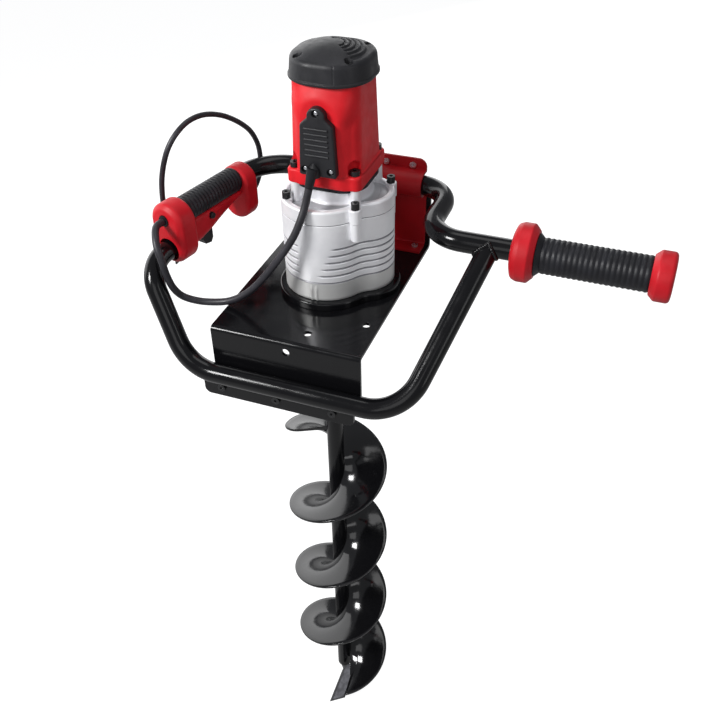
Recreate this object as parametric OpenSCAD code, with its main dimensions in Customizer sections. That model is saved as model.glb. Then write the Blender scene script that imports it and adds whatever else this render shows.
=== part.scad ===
// Earth auger: electric post-hole digger with a bent tube frame, two hand grips and a screw bit.
// Millimetres, Z up. The origin lies where the auger's axis crosses the plane of the two hand grips.
// Heights named after the deck are measured from the top face of the chassis plate.

/* [Auger bit] */
// Outer diameter of the screw flight
auger_d = 150; // [120:5:170]
// Rise of the flight in one turn
flight_pitch = 150; // [135:5:160]
// Number of turns of the flight
flight_turns = 3.78; // [3.3:0.01:3.9]
// Depth of the flight's lower end below the chassis plate
bit_drop = 812; // [780:1:860]
// Thickness of the flight
flight_t = 4; // [3:0.5:5]
// Diameter of the auger bar
bar_d = 24; // [22:1:28]
// Length of the pilot point below the bar
pilot_len = 40; // [25:1:50]

/* [Chassis] */
// Distance from the auger's axis to the left edge of the plate
deck_left = 100; // [95:1:110]
// Distance from the auger's axis to the right edge of the plate
deck_right = 92; // [88:1:105]
// Distance from the auger's axis to the front face of the apron
deck_front = 133; // [122:1:145]
// Distance from the auger's axis to the back face of the rear flange
deck_rear = 137; // [130:1:150]
// Thickness of the chassis sheet
sheet_t = 4; // [3:0.5:5]
// Depth of the apron below the plate
apron_h = 100; // [95:1:115]
// Height of the rear flange above the plate
rear_flange_h = 118; // [116:1:122]
// Diameter of the spare fixing holes
spare_hole_d = 10; // [8:0.5:11]

/* [Handle tubes] */
// Outer diameter of the tubes
tube_d = 25; // [22:0.5:27]
// Wall of the tubes
tube_wall = 2; // [1.5:0.1:3]
// Height of the hand grips above the chassis plate
grip_rise = 95; // [92:1:98]
// Depth of the front bar below the chassis plate
front_bar_drop = 60; // [52:1:62]
// Sideways position of the right shoulder of the handle tube
shoulder_x = 124; // [115:1:135]
// Sideways position of the welded tee on the right handle
tee_x = 203; // [195:1:212]
// Sideways position of the right lower corner of the loop
loop_right_x = 146.6; // [138:0.2:154]
// Sideways position of the left lower corner of the loop
loop_left_x = 130; // [124:1:136]
// Bend radius of the handle tube at the right shoulder
shoulder_bend_r = 45; // [38:1:48]
// Bend radius of the front loop
loop_bend_r = 60; // [52:1:66]

/* [Right handle] */
// Diameter of the grip over its ribs
right_grip_d = 41.6; // [36:0.2:44]
// Length of the grip
right_grip_len = 126; // [110:1:140]
// Number of ribs on the grip
right_grip_ribs = 20; // [14:1:22]
// Diameter of the inner guard
right_guard_d = 68; // [60:1:76]
// Thickness of the inner guard
right_guard_t = 28; // [26:1:34]
// Diameter of the end cap
right_cap_d = 57; // [50:1:64]
// Length of the end cap
right_cap_t = 26; // [24:1:32]

/* [Left handle] */
// Distance from the auger's axis to the left handle
left_handle_x = 166.5; // [160:0.5:174]
// Turn of the left handle out from straight ahead
left_splay = 13; // [10:0.5:15]
// Diameter of the grip over its ribs
left_grip_d = 33; // [31:0.5:37]
// Length of the grip
left_grip_len = 100; // [96:1:106]
// Number of ribs on the grip
left_grip_ribs = 18; // [14:1:20]
// Radius of the front guard's lobes
front_guard_r = 25.5; // [24:0.5:28]
// Radius of the rear guard's lobes
rear_guard_r = 22; // [21:0.5:25]
// Depth of the guards' upper lobes below the handle's axis
guard_sink = 5.5; // [4:0.5:7]
// Distance between the upper and lower lobes of the guards
guard_drop = 29; // [27:1:32]
// Thickness of the front guard
front_guard_t = 30; // [26:1:34]
// Thickness of the rear guard
rear_guard_t = 25; // [18:1:26]
// Travel of the trigger
trigger_travel = 5; // [3:0.5:6]
// Travel of the lock button
lock_travel = 4; // [2:0.5:4]

/* [Gearbox] */
// Radius of the main round of the gear case
case_r = 53; // [51:0.5:56]
// Radius of the smaller round about the layshaft
lay_case_r = 38.5; // [37:0.5:41]
// Height of the gear case
case_h = 103; // [100:1:108]
// Wall of the gear case
case_wall = 5; // [4:0.5:6]
// Height of the plinth ring
ring_h = 10; // [8:1:12]
// Width of the plinth ring outside the case
ring_rim = 8; // [6:0.5:10]
// Thickness of the gear cover's flange
cover_h = 18; // [17:0.5:20]
// Height of the neck above the cover's flange
neck_h = 14; // [12:1:17]

/* [Motor] */
// Width of the motor housing above its foot flange
motor_w = 87; // [85:0.5:89]
// Width of the motor housing under the cap
motor_top_w = 80; // [80:0.5:84]
// Height of the motor housing above its foot flange
motor_h = 101.5; // [98:0.5:106]
// Width of the square foot flange
foot_w = 91; // [89:0.5:96]
// Height of the foot flange
foot_h = 17; // [14:1:19]
// Overhang of the cap's rim over the housing
cap_lip = 10.5; // [9:0.5:12]
// Height of the cap
cap_h = 34; // [32:0.5:40]

/* [Leads] */
// Diameter of the motor lead
lead_d = 9; // [7:0.5:9.5]
// Diameter of the mains lead
mains_d = 7; // [6:0.5:8]

/* [Hidden] */
// Node to draw, or all of them
// Smoothness of drawn rounds
$fn = 64;
// Radial clearance of pressed and seated rounds
fit = 0.05;
// Radial clearance of running shafts
run_fit = 0.03;
// Clearance of sliding controls
slide_gap = 0.3;
// Small distance that keeps cuts clear of faces
eps = 0.5;
// Step in the tube faces where a straight enters a bend
bend_step = 0.12;

// Chassis plate top, seen from the origin
deck_z = -grip_rise;
// Sideways middle of the chassis
deck_mid = (deck_right - deck_left) / 2;
// Width of the chassis
deck_w = deck_right + deck_left;
// Outer radius of the folds
fold_r = sheet_t + 2;
// Front face of the rear flange
flange_face = deck_rear - sheet_t;
// Sheet of the tube clamp
clamp_t = 3;
// Half width of the clamp
clamp_half = deck_w / 2 - 6;
// Height of the clamp plate
clamp_h = grip_rise + 30;
// Middle line of the rear tube
rear_y = flange_face - tube_d / 2 - 0.1;
// Clearance of pieces that lie over a bend of the tube
tube_gap = 0.7;
// Radius of the clamp bolts
clamp_bolt_r = 2.5;
// Inner radius of the clamp's channel
channel_r = tube_d / 2 + tube_gap;
// Height of the clamp bolts over the plate
clamp_bolt_z = grip_rise + channel_r + clamp_t + 5;
// Sideways distances of the clamp bolts from the middle
clamp_bolt_x = [36, 72];
// Sideways distance of the foot bolts from the middle
foot_bolt_x = clamp_half - 10.5;
// Depth of the clamp's foot
clamp_foot = 26;
// Middle line of the front bar
front_y = -deck_front - tube_d / 2 - 0.1;
// Height of the front bar, seen from the origin
bar_z = deck_z - front_bar_drop;
// Thickness of the front bracket
bracket_t = 5;
// Top edge of the front bracket, just under the tube
bracket_top = bar_z - sqrt(pow(tube_d / 2 + 0.1, 2) - pow(tube_d / 2 + 0.1 - bracket_t, 2));
// Lower edge of the front bracket
bracket_low = deck_z - apron_h - 1.5;
// Left and right ends of the front bracket
bracket_x = [-deck_left - 16, deck_right - 8];
// Sideways places of the bracket bolts
bracket_bolt_x = [-deck_left + 9, deck_mid - 13, deck_mid + 61];

// Forward direction along the left handle
hand_dir = [-sin(left_splay), -cos(left_splay), 0];
// Back face of the front guard, along the left handle
front_guard_at = 43.4;
// Front face of the rear guard, along the left handle
rear_guard_at = front_guard_at - left_grip_len;
// Depth of the loop tube's seat below the handle's axis
loop_seat_drop = guard_sink + guard_drop + 6;
// Depth of the loop tube in the front guard
loop_seat = 25;
// Distance from the front guard's face to the loop's upper corner
loop_reach = 39;
// End of the handle tube in the front guard
core_end = front_guard_at + front_guard_t - 8.6;
// Left corner of the handle tube
left_corner_x = -left_handle_x + rear_y * tan(left_splay);
// Bend radius of that corner
left_bend_r = 60;
// Bend radius of the loop's upper left corner
loop_top_r = 41;
// Right handle stations along the tube
right_guard_x = tee_x + tube_d / 2 + 13.3;
// Inboard end of the right grip
right_grip_x = right_guard_x + right_guard_t;
// Inboard face of the end cap
right_cap_x = right_grip_x + right_grip_len;
// End of the handle tube in the end cap
right_end_x = right_cap_x + right_cap_t - 9;
// Middle line of the handle tube
handle_line = [
  [right_end_x, 0, 0],
  [shoulder_x, 0, 0],
  [shoulder_x, rear_y, 0],
  [left_corner_x, rear_y, 0],
  hand_point(core_end, 0, 0)
];
// Bends of the handle tube
handle_bends = [shoulder_bend_r, shoulder_bend_r, left_bend_r];
// Middle line of the front loop
loop_line = [
  [tee_x, 0, 0],
  [loop_right_x, front_y, bar_z],
  [-loop_left_x, front_y, bar_z],
  hand_point(front_guard_at + front_guard_t + loop_reach, 0, -loop_seat_drop),
  hand_point(front_guard_at + front_guard_t - loop_seat, 0, -loop_seat_drop)
];
// Bends of the front loop
loop_bends = [loop_bend_r, loop_bend_r, loop_top_r];

// Motor axis in plan
motor_at = [9, 18];
// Pressure angle of all teeth
press_a = 25;
// Teeth and module of the first pair
first_teeth = [12, 50];
// Module of the first pair
first_mod = 1;
// Teeth of the second pair
second_teeth = [12, 60];
// Module of the second pair
second_mod = 1.25;
// Distance from the motor axis to the layshaft
first_dist = (first_teeth[0] + first_teeth[1]) * first_mod / 2;
// Distance from the layshaft to the output shaft
second_dist = (second_teeth[0] + second_teeth[1]) * second_mod / 2;
// Distance from the output shaft to the motor axis
motor_off = norm(motor_at);
// Layshaft axis: where circles about the output and motor axes cross on the right
lay_along = (pow(second_dist, 2) - pow(first_dist, 2) + pow(motor_off, 2)) / (2 * motor_off);
// Distance of the layshaft from the line between those axes
lay_across = sqrt(pow(second_dist, 2) - pow(lay_along, 2));
// Layshaft axis in plan
lay_at = [
  (motor_at.x * lay_along + motor_at.y * lay_across) / motor_off,
  (motor_at.y * lay_along - motor_at.x * lay_across) / motor_off
];
// Direction from the motor axis to the layshaft
first_a = atan2(lay_at.y - motor_at.y, lay_at.x - motor_at.x);
// Direction from the layshaft to the output shaft
second_a = atan2(-lay_at.y, -lay_at.x);

// Heights over the deck, from the bottom up
case_top = ring_h + case_h;
// Top of the cover's flange
cover_top = case_top + cover_h;
// Top of the neck
neck_top = cover_top + neck_h;
// Thickness of the motor gasket
gasket_t = 6;
// Underside of the motor's foot flange
foot_z = neck_top + gasket_t;
// Top of the foot flange
foot_top = foot_z + foot_h;
// Top of the motor housing, where the cap sits
housing_top = foot_top + motor_h;
// Radius of the neck
neck_r = 42;
// Radius of the corner posts under the foot flange
post_r = 5.5;
// Corner screws of the foot flange, from the motor axis
foot_screw = foot_w / 2 - 8.5;
// Diameter of the cap at its rim
cap_d = motor_top_w + 2 * cap_lip;
// Bore of the motor housing
motor_bore_r = 36.6;
// Radius of the housing's soft vertical corners
corner_r = 22;
// Bolts that join cover and case, in plan
case_bolt_at = [
  [case_r - 3.5, -29.5],
  [-case_r + 16, -29],
  [lay_at.x + lay_case_r * 0.68, lay_at.y + lay_case_r * 0.7],
  [-case_r + 14, case_r - 17]
];
// Radius of the case bolts' heads
case_head_r = 5;
// Height of those heads
case_head_h = 8;
// Radius of the bolt bosses
case_boss_r = case_head_r + 2;
// Radius of the slimmer boss down the case
case_rib_r = 5.5;
// Length of that boss
case_boss_h = 24;
// Bolts from below that hold the gear case, in plan
mount_bolt_at = [[-14, 38.5], [-41, 0], [-14, -38.5], [lay_at.x + 22.6, lay_at.y + 9.2]];
// Diameter of those bolts
mount_bolt_d = 8;
// Thickness of the case floor
floor_t = 8;
// Radius of the hole for the output shaft in chassis and ring
shaft_hole_r = 28;

// Output shaft radius
out_r = 10;
// Output bearing outer radius and width
out_brg = [23.5, 14];
// Layshaft journal radius
lay_r = 6;
// Layshaft bearing outer radius and width
lay_brg = [14, 8];
// Armature shaft radius
arm_r = 6;
// Lower motor bearing outer radius and width
low_brg = [16, 10];
// Upper motor bearing outer radius and width
up_brg = [11, 7];
// Underside of the output bearing over the deck
out_brg_z = ring_h + 14;
// Underside of the layshaft's lower bearing
lay_brg_z = ring_h + floor_t + 1;
// Face widths and heights of the gears
out_gear_z = ring_h + 36;
// Width of the output gear
out_gear_w = 16;
// Underside of the layshaft gear
lay_gear_z = case_top - 29;
// Width of the layshaft gear
lay_gear_w = 10;
// Underside of the lower motor bearing
low_brg_z = neck_top - low_brg[1];
// Middle of the commutator
comm_z = housing_top - 11;
// Lower end of the laminations
core_z = foot_top + 22;
// Length of the laminations
core_len = 50;

// Top of the socket under the chassis
socket_z = -25;
// Length of the socket
socket_len = 60;
// Outer radius of the socket
socket_r = 16;
// Height of the drive pin
pin_z = socket_z - 25;
// Radius of the drive pin
pin_r = 4;
// Flight's lower end: angle
low_a = -73;
// Flight's lower end: height
low_z = -bit_drop;
// Angle of the flight's upper end
top_a = low_a + flight_turns * 360;
// Inner radius of the flight
flight_in_r = bar_d / 2 + 0.1;
// Outer radius of the flight
flight_r = auger_d / 2;
// Radius of the rounded upper corner of the flight
tongue_r = 28;
// Thickness of the cutter blade
blade_t = 5;
// Corners of the cutter blade: inner end of the edge, outer tip, outer end of its back
blade_a = round_point(bar_d / 2 + 5, low_a - 8, low_z + 0.3);
// Outer tip of the cutting edge
blade_d = round_point(flight_r + 3, low_a - 17, low_z - 18.7);
// Outer end of the blade's back
blade_c = round_point(flight_r, low_a + 3, low_z - 3.45);
// Inner end of the blade's back
blade_b = blade_a + blade_c - blade_d;
// Lower end of the auger bar
bar_end = low_z - 3;

// Trigger station along the left handle
trigger_at = 7.3;
// Length of the trigger along the handle
trigger_len = 17.4;
// Width of the trigger
trigger_w = 12;
// Top of the resting trigger under the handle's axis
trigger_top = -37;
// Top of the trigger's pocket
pocket_top = -26;
// Half width of the switch housing
keel_half = 12;
// Lock button station, height and radius
lock_at = 3.5;
// Height of the lock button
lock_z = -20.5;
// Radius of the lock button
lock_r = 4.1;
// Bottom of the lock button's bore
lock_bore = -7;
// Inner end of the lock button
lock_in = 4;
// Outer end of the lock button
lock_out = keel_half + 4.5;

// End of the motor lead along the handle, just before the grommet
lead_in = front_guard_at + front_guard_t + 1.8;
// Route of the motor lead, from the gland to the front guard
motor_route = [
  [1, -48, 63],
  [-2, -53.5, 44.5],
  [-6, -61, 27],
  [-12.5, -66.5, 9.5],
  [-21.5, -71, -7],
  [-32, -74.5, -23],
  [-43, -77, -38.5],
  [-55, -79.5, -54],
  [-68, -81.5, -68.5],
  [-83, -83.5, -80.5],
  [-100, -85.5, -89],
  [-119, -88.5, -92.5],
  [-137, -94, -91],
  [-152, -102, -82.5],
  [-158.5, -109.5, -67.5],
  [-162.5, -113, -49.5],
  [-166.5, -112.5, -31],
  hand_point(lead_in + 30.8, 17, -14),
  hand_point(lead_in + 21.5, 7.8, -3.5),
  hand_point(lead_in + 11.3, 1, -0.3),
  hand_point(lead_in, 0, 0)
];
// Ends of the gland on the terminal cover
gland_top = [4.5, -43, 86];
// Route of the mains lead, from the rear guard to the plug
mains_route = [
  [-148, 92, -35],
  [-148, 101, -33.7],
  [-148, 110.5, -29.5],
  [-148, 119.5, -21],
  [-148.3, 125.3, -8.5],
  [-149, 127.3, 7],
  [-150.5, 124, 24],
  [-154.5, 113.5, 44],
  [-161.5, 93, 64],
  [-169.5, 68, 80.5],
  [-178, 42, 90],
  [-185.5, 18, 90.5],
  [-192.5, -0.5, 82],
  [-200, -11.5, 67],
  [-206.5, -16.5, 48],
  [-212, -18, 27],
  [-215, -18, 8],
  [-216, -18, -8],
  [-216, -18, -20]
];
// Rings of a lead between two route points
lead_steps = 3;
// Sides of a lead
lead_sides = 10;
// Where the plug begins
plug_at = [-216, -18, -20.3];

// Paints and materials
gloss_black = "#17171a";
matte_black = "#232326";
soft_black = "#2a2a2d";
paint_red = "#cf1f2a";
bright_alu = "#c9cacf";
steel = "#9a9ca1";
dark_steel = "#3a3a3e";
copper = "#b06a3c";
bronze = "#a8813f";

// Every node of the assembly

// Vector of length one
function unit(v) = v / norm(v);

// Point given by distance from the axis, angle and height over the deck
function round_point(r, a, z) = [r * cos(a), r * sin(a), z];

// Point beside the left handle: forward, inward and up from its axis
function hand_point(s, w, z) = [
  -left_handle_x - s * sin(left_splay) + w * cos(left_splay),
  -s * cos(left_splay) - w * sin(left_splay),
  z
];

// Any direction square to a given one
function square_to(v) = unit(cross(v, abs(v.z) < 0.8 ? [0, 0, 1] : [1, 0, 0]));

// Matrix that carries the drawing axes to x, y and z at point c
function carry(x, y, z, c) = [
  [x.x, y.x, z.x, c.x],
  [x.y, y.y, z.y, c.y],
  [x.z, y.z, z.z, c.z],
  [0, 0, 0, 1]
];

// Length that a bend takes from each of its two straights
function bend_reach(r, d1, d2) = r * tan(acos(d1 * d2) / 2);

// Smooth curve through route points
function curve_point(a, b, c, d, u) =
  0.5 * (2 * b + (c - a) * u + (2 * a - 5 * b + 4 * c - d) * u * u + (3 * b - a - 3 * c + d) * u * u * u);

// All points of a lead's middle line
function curve_line(pts, n) = [
  for (i = [0 : len(pts) - 2])
    for (k = [0 : n - 1])
      curve_point(pts[max(i - 1, 0)], pts[i], pts[i + 1], pts[min(i + 2, len(pts) - 1)], k / n),
  pts[len(pts) - 1]
];

// Direction of a line at one of its points
function line_dir(pts, i) = unit(pts[min(i + 1, len(pts) - 1)] - pts[max(i - 1, 0)]);

// Ring of points about a line
function ring_points(c, t, side, r, n) =
  let (x = unit(cross(side, t)), y = cross(t, x))
  [for (j = [0 : n - 1]) c + r * (cos(360 * j / n) * x + sin(360 * j / n) * y)];

// Round cord swept along a line of points
module sweep_round(pts, r, n, side) {
  m = len(pts);
  points = [for (i = [0 : m - 1]) each ring_points(pts[i], line_dir(pts, i), side, r, n)];
  sides = [
    for (i = [0 : m - 2])
      for (j = [0 : n - 1])
        for (f = [[i * n + j, (i + 1) * n + j, (i + 1) * n + (j + 1) % n],
                  [i * n + j, (i + 1) * n + (j + 1) % n, i * n + (j + 1) % n]])
          f
  ];
  ends = [[for (j = [0 : n - 1]) j], [for (j = [n - 1 : -1 : 0]) (m - 1) * n + j]];
  polyhedron(points, concat(sides, ends), convexity = 8);
}

// Places things on the chassis plate
module on_deck() {
  translate([0, 0, deck_z]) children();
}

// Places things on the motor axis
module on_motor() {
  translate([motor_at.x, motor_at.y, deck_z]) children();
}

// Places things along the left handle: X forward, Y inward, Z up
module on_hand() {
  translate([-left_handle_x, 0, 0]) rotate([0, 0, -90 - left_splay]) children();
}

// Cylinder between two heights
module drum(r, z0, z1) {
  translate([0, 0, z0]) cylinder(r = r, h = z1 - z0);
}

// Section of a tube, its faces shaved a little where a straight enters a bend
module tube_section(shave) {
  difference() {
    circle(d = tube_d - 2 * shave);
    circle(d = tube_d - 2 * tube_wall + 2 * shave);
  }
}

// Straight length of tube between two points
module tube_run(a, b) {
  z = unit(b - a);
  x = square_to(z);
  multmatrix(carry(x, cross(z, x), z, a)) linear_extrude(norm(b - a)) tube_section(bend_step);
}

// Bend of a tube at a corner
module tube_bend(corner, d1, d2, r) {
  turn = acos(d1 * d2);
  n = unit(d2 - d1 * (d1 * d2));
  start = corner - d1 * bend_reach(r, d1, d2);
  multmatrix(carry(-n, d1, cross(-n, d1), start + n * r))
    rotate_extrude(angle = turn) translate([r, 0]) tube_section(0);
}

// Tube along corner points with one radius for each inner corner
module bent_tube(pts, radii) {
  last = len(pts) - 1;
  dirs = [for (i = [0 : last - 1]) unit(pts[i + 1] - pts[i])];
  cuts = [for (i = [0 : last]) i == 0 || i == last ? 0 : bend_reach(radii[i - 1], dirs[i - 1], dirs[i]) - 1];
  for (i = [0 : last - 1]) tube_run(pts[i] + dirs[i] * cuts[i], pts[i + 1] - dirs[i] * cuts[i + 1]);
  for (i = [1 : last - 1]) tube_bend(pts[i], dirs[i - 1], dirs[i], radii[i - 1]);
}

// Half section of a round body with softened rims: radius, length, rim radii below and above
module soft_section(r, t, e0, e1) {
  union() {
    square([r - max(e0, e1), t]);
    translate([0, e0]) square([r, t - e0 - e1]);
    square([r - e0, e0]);
    translate([0, t - e1]) square([r - e1, e1]);
    translate([r - e0, e0]) circle(r = e0);
    translate([r - e1, t - e1]) circle(r = e1);
  }
}

// Two-lobed guard body along Z, its second lobe at +X
module lobed_body(r, drop, t, e0, e1) {
  rotate([0, 0, 90]) rotate_extrude(angle = 180) soft_half(r, t, e0, e1);
  translate([drop, 0, 0]) rotate([0, 0, -90]) rotate_extrude(angle = 180) soft_half(r, t, e0, e1);
  rotate([90, 0, 90]) linear_extrude(drop) {
    soft_half(r, t, e0, e1);
    mirror([1, 0]) soft_half(r, t, e0, e1);
  }
}

// Soft section kept to one side of its axis
module soft_half(r, t, e0, e1) {
  intersection() {
    soft_section(r, t, e0, e1);
    square([r + eps, t]);
  }
}

// Ribbed sleeve along Z: bore radius, radius over ribs, rib depth, length, number of ribs
module ribbed_sleeve(bore, r, deep, len, ribs) {
  pitch = len / ribs;
  rotate_extrude() polygon(concat(
    [[bore, 0]],
    [
      for (i = [0 : ribs - 1])
        for (p = [[r - deep, i * pitch], [r - deep, (i + 0.15) * pitch], [r, (i + 0.35) * pitch],
                  [r, (i + 0.65) * pitch], [r - deep, (i + 0.85) * pitch]])
          p
    ],
    [[r - deep, len], [bore, len]]
  ));
}

// Bolt along Z with its head on top: head radius, head height, shank radius, shank length, key width
module bolt(head_r, head_h, shank_r, shank_len, key) {
  difference() {
    union() {
      cylinder(r = head_r, h = head_h);
      translate([0, 0, -shank_len]) cylinder(r = shank_r, h = shank_len + 0.1);
    }
    translate([0, 0, head_h * 0.45]) cylinder(d = key, h = head_h, $fn = 6);
  }
}

// Plain bearing ring along Z with a groove that marks its two races
module bearing(bore, r, w) {
  mid = (bore + r) / 2;
  difference() {
    cylinder(r = r - fit, h = w);
    translate([0, 0, -eps]) cylinder(r = bore + run_fit, h = w + 2 * eps);
    for (z = [-eps, w - 0.8])
      translate([0, 0, z]) difference() {
        cylinder(r = mid + 1.6, h = 0.8 + eps);
        translate([0, 0, -eps]) cylinder(r = mid - 1.6, h = 0.8 + 3 * eps);
      }
  }
}

// Half angle of a tooth at a radius, thinned for play
function inv_deg(a) = tan(a) * 180 / PI - a;
function tooth_half(n, m, r) =
  let (rp = n * m / 2, rb = rp * cos(press_a))
  90 / n - 0.1 / (2 * rp) * 180 / PI + inv_deg(press_a) - inv_deg(acos(min(1, rb / r)));

// Outline of a gear wheel: teeth, module and the direction of one tooth
module gear_outline(n, m, turn) {
  rp = n * m / 2;
  ra = rp + 0.68 * m;
  rf = rp - 0.92 * m;
  rb = rp * cos(press_a);
  r0 = max(rb, rf);
  low = rb > rf + 0.05 ? [rf] : [];
  radii = concat(low, [r0, rp, ra]);
  last = len(radii) - 1;
  polygon([
    for (k = [0 : n - 1])
      for (i = [-last - 1 : last])
        let (q = i < 0 ? last + 1 + i : last - i, a = tooth_half(n, m, max(radii[q], r0)))
        let (w = turn + 360 * k / n + (i < 0 ? -a : a))
        [radii[q] * cos(w), radii[q] * sin(w)]
  ]);
}

// Plan of the gear case, grown or shrunk
module case_plan(grow) {
  circle(r = case_r + grow);
  translate(lay_at) circle(r = lay_case_r + grow);
}

// Folded chassis section in the Y and Z plane
module chassis_section() {
  // Plate
  translate([-deck_front + fold_r, -sheet_t]) square([deck_front + deck_rear - 2 * fold_r, sheet_t]);
  // Apron
  translate([-deck_front, -apron_h]) square([sheet_t, apron_h - fold_r]);
  // Rear flange
  translate([deck_rear - sheet_t, fold_r - sheet_t]) square([sheet_t, rear_flange_h - fold_r + sheet_t]);
  // Front fold
  intersection() {
    translate([-deck_front + fold_r, -fold_r]) fold_ring();
    translate([-deck_front, -fold_r]) square(fold_r);
  }
  // Rear fold
  intersection() {
    translate([deck_rear - fold_r, fold_r - sheet_t]) fold_ring();
    translate([deck_rear - fold_r, -sheet_t]) square(fold_r);
  }
}

// Ring from which the folds are cut
module fold_ring() {
  difference() {
    circle(r = fold_r);
    circle(r = fold_r - sheet_t);
  }
}

// Folded black sheet that carries gearbox and tubes
module chassis() {
  color(gloss_black) on_deck() difference() {
    translate([-deck_left, 0, 0]) rotate([90, 0, 90]) linear_extrude(deck_w) chassis_section();
    // The upper part of the rear flange is narrower
    for (x = [-deck_left - eps, deck_right - 16])
      translate([x, deck_rear - sheet_t - eps, 78]) cube([16 + eps, sheet_t + 2 * eps, rear_flange_h]);
    // The apron's lower right corner stops behind the front bracket
    translate([deck_right - 14, -deck_front - eps, -apron_h - eps])
      cube([14 + eps, sheet_t + 2 * eps, apron_h - front_bar_drop - 4 + eps]);
    // Shaft and gear case bolts
    drum(shaft_hole_r, -sheet_t - eps, eps);
    for (p = mount_bolt_at)
      translate([p.x, p.y, 0]) drum(mount_bolt_d / 2 + 0.3, -sheet_t - eps, eps);
    // Spare holes in the plate and apron
    for (p = [[deck_mid + 20.5, -deck_front + 25.7], [deck_right - 16.3, -deck_front + 65]])
      translate([p.x, p.y, 0]) drum(spare_hole_d / 2, -sheet_t - eps, eps);
    translate([deck_mid + 2, -deck_front - eps, -14.5]) rotate([-90, 0, 0])
      cylinder(d = spare_hole_d, h = sheet_t + 2 * eps);
    // Clamp bolts, foot bolts and bracket bolts
    for (x = clamp_bolt_x)
      for (s = [-1, 1])
        translate([deck_mid + s * x, flange_face - eps, clamp_bolt_z]) rotate([-90, 0, 0])
          cylinder(r = clamp_bolt_r + 0.3, h = sheet_t + 2 * eps);
    for (s = [-1, 1])
      translate([deck_mid + s * foot_bolt_x, flange_face - 13, 0])
        drum(clamp_bolt_r + 0.3, -sheet_t - eps, eps);
    for (x = bracket_bolt_x)
      translate([x, -deck_front - eps, bracket_bolt_z()]) rotate([-90, 0, 0])
        cylinder(r = 3.3, h = sheet_t + 2 * eps);
  }
}

// Height of the bracket bolts over the deck
function bracket_bolt_z() = (bracket_top + bracket_low) / 2 - deck_z - 1.5;

// Section of the tube clamp in the Y and Z plane
module clamp_section() {
  r1 = channel_r + clamp_t;
  // Upper and lower flats
  translate([flange_face - clamp_t, grip_rise + channel_r]) square([clamp_t, clamp_h - grip_rise - channel_r]);
  translate([flange_face - clamp_t, 5]) square([clamp_t, grip_rise - channel_r - 5]);
  // Legs of the channel
  for (z = [grip_rise + channel_r, grip_rise - r1])
    translate([rear_y, z]) square([flange_face - rear_y, clamp_t]);
  // Half round over the tube
  intersection() {
    translate([rear_y, grip_rise]) difference() {
      circle(r = r1);
      circle(r = channel_r);
    }
    translate([rear_y - r1 - eps, grip_rise - r1 - eps]) square([r1 + eps, 2 * r1 + 2 * eps]);
  }
  // Foot and its fold
  translate([flange_face - clamp_foot, 0]) square([clamp_foot - 5, clamp_t]);
  intersection() {
    translate([flange_face - 5, 5]) difference() {
      circle(r = 5);
      circle(r = 5 - clamp_t);
    }
    translate([flange_face - 5, 0]) square(5);
  }
}

// Red pressed clamp over the rear tube
module tube_clamp() {
  soft = 11;
  color(paint_red) on_deck() translate([deck_mid, 0, 0]) difference() {
    intersection() {
      translate([-clamp_half, 0, 0]) rotate([90, 0, 90]) linear_extrude(2 * clamp_half) clamp_section();
      translate([0, flange_face + eps, 0]) rotate([90, 0, 0]) linear_extrude(clamp_foot + 20) {
        translate([-clamp_half, -eps]) square([2 * clamp_half, clamp_h - soft + eps]);
        translate([-clamp_half + soft, 0]) square([2 * (clamp_half - soft), clamp_h]);
        for (s = [-1, 1]) translate([s * (clamp_half - soft), clamp_h - soft]) circle(r = soft);
      }
    }
    for (x = clamp_bolt_x)
      for (s = [-1, 1])
        translate([s * x, flange_face - clamp_t - eps, clamp_bolt_z]) rotate([-90, 0, 0])
          cylinder(r = clamp_bolt_r + 0.3, h = clamp_t + 2 * eps);
    for (s = [-1, 1])
      translate([s * foot_bolt_x, flange_face - 13, 0]) drum(clamp_bolt_r + 0.3, -eps, clamp_t + eps);
  }
}

// Bolts of the clamp through the rear flange, with nuts behind
module clamp_bolts() {
  color(steel) on_deck()
    for (x = clamp_bolt_x)
      for (s = [-1, 1])
        translate([deck_mid + s * x, flange_face - clamp_t, clamp_bolt_z]) rotate([90, 0, 0]) {
          bolt(4.2, 2.6, clamp_bolt_r, clamp_t + sheet_t + 6, 3);
          translate([0, 0, -clamp_t - sheet_t - 4]) cylinder(d = 9.2, h = 4, $fn = 6);
        }
}

// Bolts of the clamp's foot, with nuts under the plate
module clamp_foot_bolts() {
  color(steel) on_deck()
    for (s = [-1, 1])
      translate([deck_mid + s * foot_bolt_x, flange_face - 13, clamp_t]) {
        bolt(4.2, 2.6, clamp_bolt_r, clamp_t + sheet_t + 6, 3);
        translate([0, 0, -clamp_t - sheet_t - 4]) cylinder(d = 9.2, h = 4, $fn = 6);
      }
}

// Flat bar under the front tube
module front_bracket() {
  soft = 8;
  h = bracket_top - bracket_low;
  w = bracket_x[1] - bracket_x[0];
  color(gloss_black) difference() {
    translate([bracket_x[0], -deck_front, bracket_low]) rotate([90, 0, 0]) linear_extrude(bracket_t) {
      translate([soft, 0]) square([w - 2 * soft, h]);
      translate([0, soft]) square([w, h - 2 * soft]);
      for (x = [soft, w - soft]) for (z = [soft, h - soft]) translate([x, z]) circle(r = soft);
    }
    for (x = bracket_bolt_x)
      translate([x, -deck_front + eps, deck_z + bracket_bolt_z()]) rotate([90, 0, 0])
        cylinder(r = 3.3, h = bracket_t + 2 * eps);
  }
}

// Bolts of the front bracket, with nuts behind the apron
module bracket_bolts() {
  color(dark_steel) on_deck()
    for (x = bracket_bolt_x)
      translate([x, -deck_front - bracket_t, bracket_bolt_z()]) rotate([90, 0, 0]) {
        bolt(5.2, 3.2, 3, bracket_t + sheet_t + 7, 4);
        translate([0, 0, -bracket_t - sheet_t - 5]) cylinder(d = 11, h = 5, $fn = 6);
      }
}

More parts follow.
